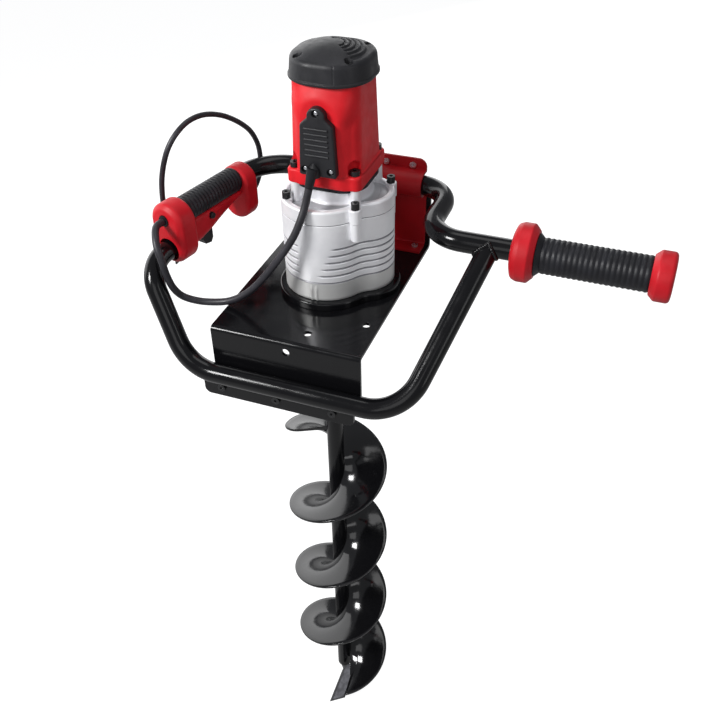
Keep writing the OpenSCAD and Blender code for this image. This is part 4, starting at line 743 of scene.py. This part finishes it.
ANGLE = circle(480)
DIRS = np.stack([np.cos(ANGLE), np.sin(ANGLE)], axis=1)
TURN = np.degrees((ANGLE + math.pi) % TAU - math.pi)
CORNERS = np.array([(-1.0, -1.0), (1.0, -1.0), (1.0, 1.0), (-1.0, 1.0)])
FOOT_Z, FOOT_TOP, HOUSING_TOP = 151.0, 168.0, 269.5
FOOT_SCREWS, CAP_SCREWS = 37, 29.4


def ease(x, low, high):
    """Smooth step from 0 at low to 1 at high: 3 t^2 - 2 t^3."""
    t = np.clip((x - low) / (high - low), 0, 1)
    return t * t * (3 - 2 * t)


def roots(centre, radius):
    """Where rays from the middle enter and leave a circle: the product of centre and direction, less
    and plus the square root of radius squared minus the squared offset. Rays that miss give none."""
    along = DIRS @ np.asarray(centre, float)
    rest = np.asarray(radius, float)[..., None] ** 2 - (np.dot(centre, centre) - along**2)
    root = np.sqrt(np.maximum(rest, 0))
    return np.where((rest > 0) & (along > 0), along - root, np.inf), np.where(rest > 0, along + root, 0.0)


def square_reach(half, corner):
    """Distance to the edge of a rounded square along each direction: on a flat side the half width
    over the larger share of the direction, on a corner the far root of the circle in that corner."""
    half, corner = (np.asarray(v, float).reshape(-1, 1) for v in (half, corner))
    a, b = np.abs(DIRS).max(1)[None], np.abs(DIRS).min(1)[None]
    k = half - corner
    far = k * (a + b) + np.sqrt(np.maximum((k * (a + b)) ** 2 - 2 * k * k + corner**2, 0))
    return np.where(half * b / a <= k, half / a, far)


def upright(r, z, middle):
    """Points from distances (n, m) along the directions, heights over the plate and a middle in plan."""
    z = np.broadcast_to(np.reshape(z, (len(r), -1)), r.shape)
    return np.stack([middle[0] + r * DIRS[:, 0], middle[1] + r * DIRS[:, 1], z + DECK], axis=-1)


def motor_housing():
    """Housing as distances from the motor axis, row by row upwards: the foot flange, its rolled edge,
    the shelf, a fillet and the tapered wall. Arched wells are the near roots of circles about the
    corner screws. In front a boss is raised by moving points to its plane with a smooth step of
    their depth inside an arch; the step gets softer towards the crown."""
    t = np.linspace(0, math.pi / 2, 7)
    flange = np.concatenate([
        pairs(1.2 - 1.2 * np.sin(t), FOOT_Z + 1.2 - 1.2 * np.cos(t)),
        pairs(0, np.linspace(154, 164, 6)),
        pairs(3 - 3 * np.cos(t), FOOT_TOP - 3 + 3 * np.sin(t)),
    ])
    wall = np.concatenate([
        pairs(3 - 3 * np.sin(t), FOOT_TOP + 3 - 3 * np.cos(t)),
        pairs(0, np.linspace(171.6, HOUSING_TOP - 1, 88)),
        [(-0.6, HOUSING_TOP - 0.2), (-3, HOUSING_TOP)],
    ])
    low, wide, taper = 153, 43.5, 3.5
    half = wide - taper * (wall[:, 1] - low) / (HOUSING_TOP - low)
    r_foot = square_reach(45.5 - flange[:, 0], 8 - flange[:, 0])
    r_wall = square_reach(half + wall[:, 0], 18 + wall[:, 0])
    well_r, well_top = 7.4, 178
    well = np.sqrt(np.maximum(well_r**2 - np.maximum(wall[:, 1] - well_top, 0) ** 2, 0))
    well[wall[:, 1] < FOOT_TOP + 0.02] = 0
    for c in CORNERS * FOOT_SCREWS:
        r_wall = np.minimum(r_wall, roots(c, well)[0])
    shelf = r_foot[-1] + (r_wall[0] - r_foot[-1]) * np.linspace(0, 1, 6)[1:-1, None]
    r = np.concatenate([r_foot, shelf, r_wall])
    z = np.concatenate([flange[:, 1], np.full(4, FOOT_TOP), wall[:, 1]])
    rings = upright(r, z, (0, 0))
    x, y = rings[..., 0], rings[..., 1]
    arch_r, crown, face = 28, 232.5, -49.4
    inside = arch_r - np.hypot(x, np.maximum(z[:, None] - crown, 0))
    softer = 7 + 10 * ease(z, 222, 252)[:, None]
    raised = ease(np.minimum(inside, z[:, None] - 150), -softer, 7) * (y < 0)
    rings[..., 1] = y + (np.minimum(y, face) - y) * raised
    rings[..., :2] += MOTOR_AT[:2]
    fit_out(ring_piece("motor_housing_moulding", rings, crease=50), RED, "motor_housing")


def motor_cap():
    """Cap over a rounded square that shrinks to its middle: rim, lip, leaning side, round shoulder
    and dome. Ring-shaped steps lie on one side of the dome, round wells go down to the screws, and a
    thin seam runs up the side."""
    rim, dome_r, dome_z, dome_h = 50.6, 38, 26.5, 7.5
    side = soft_profile([(44, 0), (rim, 0), (rim, 3.0), (49.3, 3.6), (47.4, 23.4), (dome_r, dome_z)],
                        (0.8, 0.8, 0.4, 7), 8)
    r0 = np.linspace(37.6, 0.4, 76)
    rows = np.concatenate([side, pairs(r0, dome_z + dome_h * (1 - (r0 / dome_r) ** 2))])
    r = square_reach(49, 42) * rows[:, :1] / rim
    z = np.repeat(rows[:, 1:], len(ANGLE), axis=1)
    on_side = ease(TURN, -42, -34) * (1 - ease(TURN, 112, 120))
    ring_r, ring_gap, ring_depth = 12, 6, 1.9
    step = 1 / (1 + np.exp(-7 * np.sin((r - ring_r) / ring_gap * TAU)))
    z -= ring_depth * step * on_side * ease(r, 11.5, 12.5) * (1 - ease(r, 41, 42))
    points = upright(r, z, (0, 0))
    for c in CORNERS * CAP_SCREWS:
        away = np.hypot(points[..., 0] - c[0], points[..., 1] - c[1])
        z -= 8.5 * (1 - ease(away, 4.2, 5.1)) * (rows[:, 1:] > 12)
    seam = np.exp(-((TURN + 69) / 0.7) ** 2) * ease(rows[:, 1:], 3.2, 4.2)
    rings = upright(r - 0.5 * seam, z + HOUSING_TOP, MOTOR_AT)
    fit_out(ring_piece("motor_cap_moulding", rings, crease=50), BLACK, "motor_cap")


COVER_SCREWS = ((0, 243.5), (-15.5, 177), (15.5, 177))
COVER_Y = 58.0


def on_face(x, y, z):
    """Place on the front of the motor: sideways from its axis, out from it and over the plate."""
    return MOTOR_AT + np.array([x, -y, z])


def terminal_cover():
    """Cover on the boss: a rounded outline carried forwards, its front edge rolled by moving points in
    along their normals. Six round ribs and the dome of the lead's outlet stand on it."""
    foot, edge = 169.5, 2.4
    half = [(22.5, foot), (19.5, 230.0), (10.8, 237.4), (10.8, 250.0)]
    corners = [(0, foot)] + half + [(-x, z) for x, z in half[::-1]] + [(0, foot)]
    outline = soft_profile(corners, (3, 6, 3.5, 10.6, 10.6, 3.5, 6, 3), 8)[:-1]
    way = unit(np.roll(outline, -1, 0) - np.roll(outline, 1, 0))
    inward = np.stack([-way[:, 1], way[:, 0]], axis=1)
    t = np.linspace(0, math.pi / 2, 7)
    inset = np.concatenate([[0, 0], edge - edge * np.cos(t)])
    out = np.concatenate([[48.6, 54], COVER_Y - edge + edge * np.sin(t)])
    flat = outline[None] + inset[:, None, None] * inward[None]
    forward = np.broadcast_to(-out[:, None], flat.shape[:2])
    rings = MOTOR_AT + np.stack([flat[..., 0], forward, flat[..., 1]], axis=-1)
    wells = [rod(on_face(x, 0, z), (0, -1, 0), 4.3, 54.2, 64) for x, z in COVER_SCREWS]
    fit_out(carve(ring_piece("terminal_cover_moulding", rings), *wells), BLACK, "terminal_cover")
    parts = [rod(on_face(0, COVER_Y - 0.2, 194.7 + 6.2 * i), (1, 0, 0), 1.6, -14, 14, 20) for i in range(6)]
    dome = soft_profile([(0.3, 169.4), (7.4, 169.4), (7.0, 180), (0.3, 186)], (0.8, 5), 8)
    parts.append(revolve(dome, on_face(-4, COVER_Y - 0.5, 0), UP, 48))
    fit_out(shells("terminal_cover_ribs", parts), BLACK)


def cover_screws():
    """Small round heads at the bottom of the cover's wells."""
    head = soft_profile([(0.3, 51), (2.7, 51), (2.7, 56), (0.3, 56.4)], (0.3, 1.2), 5)
    parts = [revolve(head, on_face(x, 0, z), (0, -1, 0), 32) for x, z in COVER_SCREWS]
    fit_out(shells("cover_screw_heads", parts), ZINC, "cover_screws")


def motor_gasket():
    """Thick seal under the foot flange, a rounded square in plan."""
    rows = np.array([(1, 145.05), (0, 145.7), (0, 150.3), (1, 150.95)])
    rings = upright(square_reach(45 - rows[:, 0], 30 - rows[:, 0]), rows[:, 1], MOTOR_AT)
    fit_out(ring_piece("motor_gasket_seal", rings), RUBBER, "motor_gasket")


motor_housing()
motor_cap()
terminal_cover()
cover_screws()
motor_gasket()

# Gear case

CASE_MID = np.array([15.0, 8.0])
LAY_AT = np.array([39.867, 20.872])
CASE_R, LAY_R, VALLEY_R = 53.0, 38.5, 40.0
CASE_BOLTS = np.array([(49.5, -29.5), (-37.0, -29.0), (66.05, 47.8), (-39.0, 36.0)])
RING_H, CASE_TOP, COVER_TOP, NECK_TOP = 10.0, 113.0, 131.0, 145.0
LOW_GROOVE, FIRST_GROOVE, GROOVE_PITCH, GROOVE_DEPTH = 34.6, 44.2, 9.1, 1.5


def case_reach(grow):
    """Distance from the middle of the gear case to its outline: two rounds, and in both valleys the
    near side of a circle that touches them. The outline moves out by grow."""
    grow = np.asarray(grow, float).reshape(-1)
    r = np.maximum(roots(-CASE_MID, CASE_R + grow)[1], roots(LAY_AT - CASE_MID, LAY_R + grow)[1])
    span = np.linalg.norm(LAY_AT)
    a, b = CASE_R + VALLEY_R, LAY_R + VALLEY_R
    along = (a * a - b * b + span * span) / (2 * span)
    across = math.sqrt(a * a - along * along)
    way = LAY_AT / span
    for s in (-1, 1):
        middle = way * along + np.array([-way[1], way[0]]) * across * s
        ends = np.stack([middle * CASE_R / a, LAY_AT + (middle - LAY_AT) * LAY_R / b]) - CASE_MID
        turn = np.sort(np.degrees(np.arctan2(ends[:, 1], ends[:, 0])))
        between = (TURN > turn[0]) & (TURN < turn[1])
        r = np.where(between, roots(middle - CASE_MID, VALLEY_R - grow)[0], r)
    return r


def with_bosses(r, radius):
    """The outline joined with round bosses about the case bolts."""
    for p in CASE_BOLTS - CASE_MID:
        r = np.maximum(r, roots(p, radius)[1])
    return r


def gear_case():
    """Lower case: the outline carried up, with grooves in it. The lowest one, a parabola in section,
    runs all round; the five above are cosine waves and fade out before the smooth front, along a
    slanted line on the right. Slim bosses hang under the bolts and two low ridges stand in front."""
    z = np.concatenate([[RING_H], np.linspace(RING_H + 0.6, 32, 8), np.linspace(32.4, 84, 116),
                        np.linspace(85.5, CASE_TOP - 0.7, 24), [CASE_TOP]])
    cut = GROOVE_DEPTH * np.clip(1 - ((z - LOW_GROOVE) / 1.3) ** 2, 0, 1)[:, None] * np.ones(len(ANGLE))
    for i in range(5):
        shape = 0.5 + 0.5 * np.cos(np.clip((z - FIRST_GROOVE - GROOVE_PITCH * i) / 1.9, -1, 1) * math.pi)
        right, left = -98 + 4 * i, -116
        fade = 1 - ease(TURN, left - 6, left) * (1 - ease(TURN, right, right + 9))
        cut += GROOVE_DEPTH * shape[:, None] * fade
    edge = np.zeros(len(z))
    edge[[0, -1]] = 0.7
    ridge = sum(np.exp(-((TURN - a) / 1.1) ** 2) for a in (-103.5, -98.0)) * (1 - ease(z, 26, 31))[:, None]
    r = case_reach(np.zeros(len(z)) - edge) - cut + 1.3 * ridge
    slim = np.where(z > CASE_TOP - 24, 5.5, 0.01)
    rings = upright(with_bosses(r, slim), z, CASE_MID)
    piece = ring_piece("gear_case_casting", rings, crease=50)
    # Groove depth, and 1 on the top ring at the seam: where the cast finish paints shade
    fit_out(mark(piece, cut / GROOVE_DEPTH + (z >= CASE_TOP)[:, None]), CAST, "gear_case")


def gear_cover():
    """Upper cover: rolled rim round a sunk floor, bosses, the turned neck and four corner posts with
    their webs, as closed shells in one piece."""
    t = np.linspace(0, math.pi / 2, 8)
    rim = np.concatenate([
        [(-0.7, CASE_TOP), (0, CASE_TOP + 0.7)],
        pairs(0, np.linspace(115, 127, 6)),
        pairs(3 * np.cos(t) - 3, COVER_TOP - 3 + 3 * np.sin(t)),
        pairs(-6 - np.sin(t), COVER_TOP - 1 + np.cos(t)),
        pairs(-8.5 + 1.5 * np.cos(t), 127.5 - 1.5 * np.sin(t)),
        [(-14, 126.0)],
    ])
    outline = case_reach(rim[:, 0])
    # The bosses join the wall and its rolled edge, which are the first three groups of rows
    outer = np.arange(len(rim)) < 2 + 6 + len(t)
    outline = np.where(outer[:, None], with_bosses(outline, 7.0 + np.where(outer, rim[:, 0], 0)), outline)
    parts = [upright(outline, rim[:, 1], CASE_MID)]
    boss = soft_profile([(0.3, 120), (7, 120), (7, COVER_TOP), (0.3, COVER_TOP)], (0.5, 1.2), 5)
    parts += [revolve(boss, (*p, DECK), UP, 40) for p in CASE_BOLTS]
    neck = soft_profile([(0.3, 122), (51, 122), (51, 126.1), (42, 127.4), (42, NECK_TOP), (0.3, NECK_TOP)],
                        (0.5, 0.5, 6, 0.6), 8)
    parts.append(revolve(neck, MOTOR_AT, UP, 144))
    post = soft_profile([(0.3, 122), (6.6, 122), (5.9, FOOT_Z - 0.1), (0.3, FOOT_Z - 0.1)], (0.5, 0.5), 4)
    for c in CORNERS:
        out = np.array([*c, 0]) / math.sqrt(2)
        parts.append(revolve(post, MOTOR_AT + np.array([*c, 0]) * FOOT_SCREWS, UP, 40))
        parts.append(slab(MOTOR_AT + out * 45 + UP * 134, out * 7.5, np.cross(UP, out) * 4.5, UP * 11))
    # The row at the seam gets painted shade from the cast finish
    seam = (rim[:, 1] <= CASE_TOP)[:, None] * np.ones(len(ANGLE))
    fit_out(mark(shells("gear_cover_casting", parts), seam), CAST, "gear_cover")


def base_ring():
    """Plinth under the case: the same outline moved out, with a rolled upper edge."""
    t = np.linspace(0, math.pi / 2, 8)
    edge = pairs(5.5 + 2.5 * np.cos(t), 7.4 + 2.5 * np.sin(t))
    rows = np.concatenate([[(7.4, 0), (8, 0.6)], edge, [(-4, 9.9)]])
    rings = upright(case_reach(rows[:, 0]), rows[:, 1], CASE_MID)
    fit_out(ring_piece("base_ring_plinth", rings), COAT, "base_ring")


gear_case()
gear_cover()
base_ring()

# Auger

FLIGHT_A, FLIGHT_Z, FLIGHT_TURNS, FLIGHT_PITCH = -73.0, -812.0, 3.78, 150.0
FLIGHT_R, CORE_R, FLIGHT_THICK, TONGUE_R = 75.0, 11.6, 4.0, 28.0


def round_point(r, a, z):
    """Point from its distance to the axis, its angle in degrees and its height over the plate."""
    a = math.radians(a)
    return np.array([r * math.cos(a), r * math.sin(a), z])


BLADE_A = round_point(17, FLIGHT_A - 8, FLIGHT_Z + 0.3)
BLADE_D = round_point(78, FLIGHT_A - 17, FLIGHT_Z - 18.7)
BLADE_C = round_point(75, FLIGHT_A + 3, FLIGHT_Z - 3.45)
BLADE_B = BLADE_A + BLADE_C - BLADE_D


def auger_flight():
    """Screw flight as a ruled helix of even thickness. Along the turn the height grows by the pitch
    for every full angle. Its section is a flat bar with rounded outer edge. The start follows the
    back of the blade, and the upper end is rounded off by a circle."""
    top = FLIGHT_A + 360 * FLIGHT_TURNS
    # Section: share of the radial width, and side of the sheet, round the bar
    side, half_round = 13, np.linspace(0, math.pi, 7)
    share = np.concatenate([np.linspace(0, 1, side), np.ones(5), np.linspace(1, 0, side), [0]])
    edge = np.concatenate([np.zeros(side), np.sin(half_round)[1:-1], np.zeros(side + 1)])
    height = np.concatenate([-np.ones(side), -np.cos(half_round)[1:-1], np.ones(side), [0]])
    # Rows along the turn, finer over the rounded end
    even, fine = 0.984, np.linspace(0, math.pi / 2, 40)[1:]
    u = np.concatenate([np.linspace(0, even, 560), even + 0.016 * (1 - np.cos(fine))])
    u[-1] = 0.99995
    r0 = CORE_R + (FLIGHT_R - CORE_R) * share
    d = (BLADE_C - BLADE_B)[:2]
    b = BLADE_B[:2]
    t = np.clip(far_root(d @ d, b @ d, b @ b - r0**2), 0, 1)
    start = np.degrees(np.arctan2(b[1] + d[1] * t, b[0] + d[0] * t)) + 1
    a = start[None] + (top - start[None]) * u[:, None]
    left = np.radians(top - a) * FLIGHT_R
    round_off = np.sqrt(np.maximum(TONGUE_R**2 - (TONGUE_R - left) ** 2, 0))
    rim = np.where(left >= TONGUE_R, FLIGHT_R, FLIGHT_R - TONGUE_R + round_off)
    bulge = 0.8
    r = CORE_R + (rim - bulge - CORE_R) * share[None] + bulge * edge[None]
    lean = np.sqrt(1 + (FLIGHT_PITCH / (TAU * r)) ** 2)
    z = FLIGHT_Z + (a - FLIGHT_A) * FLIGHT_PITCH / 360 + height[None] * FLIGHT_THICK / 2 * lean + DECK
    a = np.radians(a)
    rings = np.stack([r * np.cos(a), r * np.sin(a), z], axis=-1)
    piece = ring_piece("auger_flight_plate", rings[:, ::-1], crease=50)
    fit_out(piece, BIT, "auger_flight", body="auger_drive")


auger_flight()


def coil(name, centre, axis, radius, wire, length, turns, node):
    """Return spring: a round wire along a helix that starts at centre and runs along the axis."""
    axis = unit(axis)
    x = unit(np.cross(axis, [0.3, 0.9, 0.2]))
    s = np.linspace(0, 1, turns * 28 + 1)
    line = (np.asarray(centre) + axis * (wire + (length - 2 * wire) * s)[:, None]
            + radius * around(s * turns * TAU, x, np.cross(axis, x)))
    piece = fit_out(ring_piece(name, sweep(line, wire, 10, axis)), ZINC, node)
    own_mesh(piece)


coil("trigger_spring_coil", hand_point(TRIGGER_S, 0, -26), (0, 0, -1), 3.6, 0.6, 11, 5,
     "trigger_spring")
coil("lock_spring_coil", hand_point(LOCK_S, -7, LOCK_Z), HAND_IN, 2.8, 0.5, 11, 5,
     "lock_spring")

# Floor, light and picture settings

FLOOR_GREY, FLOOR_SEEN, FLOOR_MIRRORED = 0.32, 0.87, 0.22
WORLD_LIGHT, WORLD_SEEN = 0.3, 0.95
LIGHT_AIM = np.array([0.0, 0.0, -0.15])


def floor():
    """Pale floor at the tip of the bit. Camera rays see it lifted to white, mirror rays less so, and its
    own diffuse part keeps the shadow."""
    half, low = 12.0, cad_box[0].z - 0.0005
    mesh = bpy.data.meshes.new("floor")
    mesh.from_pydata([(half * x, half * y, low) for x, y in CORNERS.tolist()], [], [(0, 1, 2, 3)])
    material = bpy.data.materials.new("pale_floor")
    material.use_nodes = True
    tree = material.node_tree
    tree.nodes.clear()
    diffuse = add_node(tree, "ShaderNodeBsdfDiffuse", Color=(FLOOR_GREY, FLOOR_GREY, FLOOR_GREY))
    rays = add_node(tree, "ShaderNodeLightPath").outputs
    mirrored = calc(tree, "MULTIPLY", rays["Is Glossy Ray"], FLOOR_MIRRORED)
    seen = calc(tree, "MAXIMUM", rays["Is Camera Ray"], mirrored)
    glow = add_node(tree, "ShaderNodeEmission", Strength=calc(tree, "MULTIPLY", seen, FLOOR_SEEN))
    both = add_node(tree, "ShaderNodeAddShader")
    feed(tree, both.inputs[0], diffuse.outputs[0])
    feed(tree, both.inputs[1], glow.outputs[0])
    add_node(tree, "ShaderNodeOutputMaterial", Surface=both.outputs[0])
    mesh.materials.append(material)
    made = put("floor", mesh)


def softbox(name, place, size, power):
    """Rectangular lamp that faces the part, with its place and size in metres and its power in watts."""
    data = bpy.data.lights.new(name, "AREA")
    data.shape, data.size, data.size_y, data.energy = "RECTANGLE", size[0], size[1], power
    back = unit(np.array(place) - LIGHT_AIM)
    x = unit(np.cross(UP, back))
    stand(put(name, data), x, np.cross(back, x), back, place)


def studio():
    """Even surroundings, paler as a backdrop than as light, a lamp from the front left, a wide dim
    screen behind to the left, which the gloss of the bit mirrors, and weak lamps in front, overhead
    and on the right."""
    world = bpy.data.worlds.new("studio")
    bpy.context.scene.world = world
    world.use_nodes = True
    tree = world.node_tree
    back = tree.nodes["Background"]
    feed(tree, back.inputs["Color"], (0.93, 0.95, 1.0))
    seen = add_node(tree, "ShaderNodeLightPath").outputs["Is Camera Ray"]
    level = add_node(tree, "ShaderNodeMapRange", Value=seen, To_Min=WORLD_LIGHT, To_Max=WORLD_SEEN)
    feed(tree, back.inputs["Strength"], level.outputs["Result"])
    softbox("key_left", (-1.35, -1.75, 1.35), (0.7, 0.7), 66)
    softbox("screen_left", (-2.2, 1.75, 0.5), (7.0, 2.2), 88)
    softbox("front_fill", (0.3, -2.2, 0.9), (1.2, 1.2), 6)
    softbox("overhead", (0.1, 0.3, 2.1), (1.6, 1.0), 9)
    softbox("right_strip", (1.9, -0.9, 0.6), (0.4, 1.6), 4)


floor()
studio()
bpy.context.scene.view_settings.view_transform = "Standard"
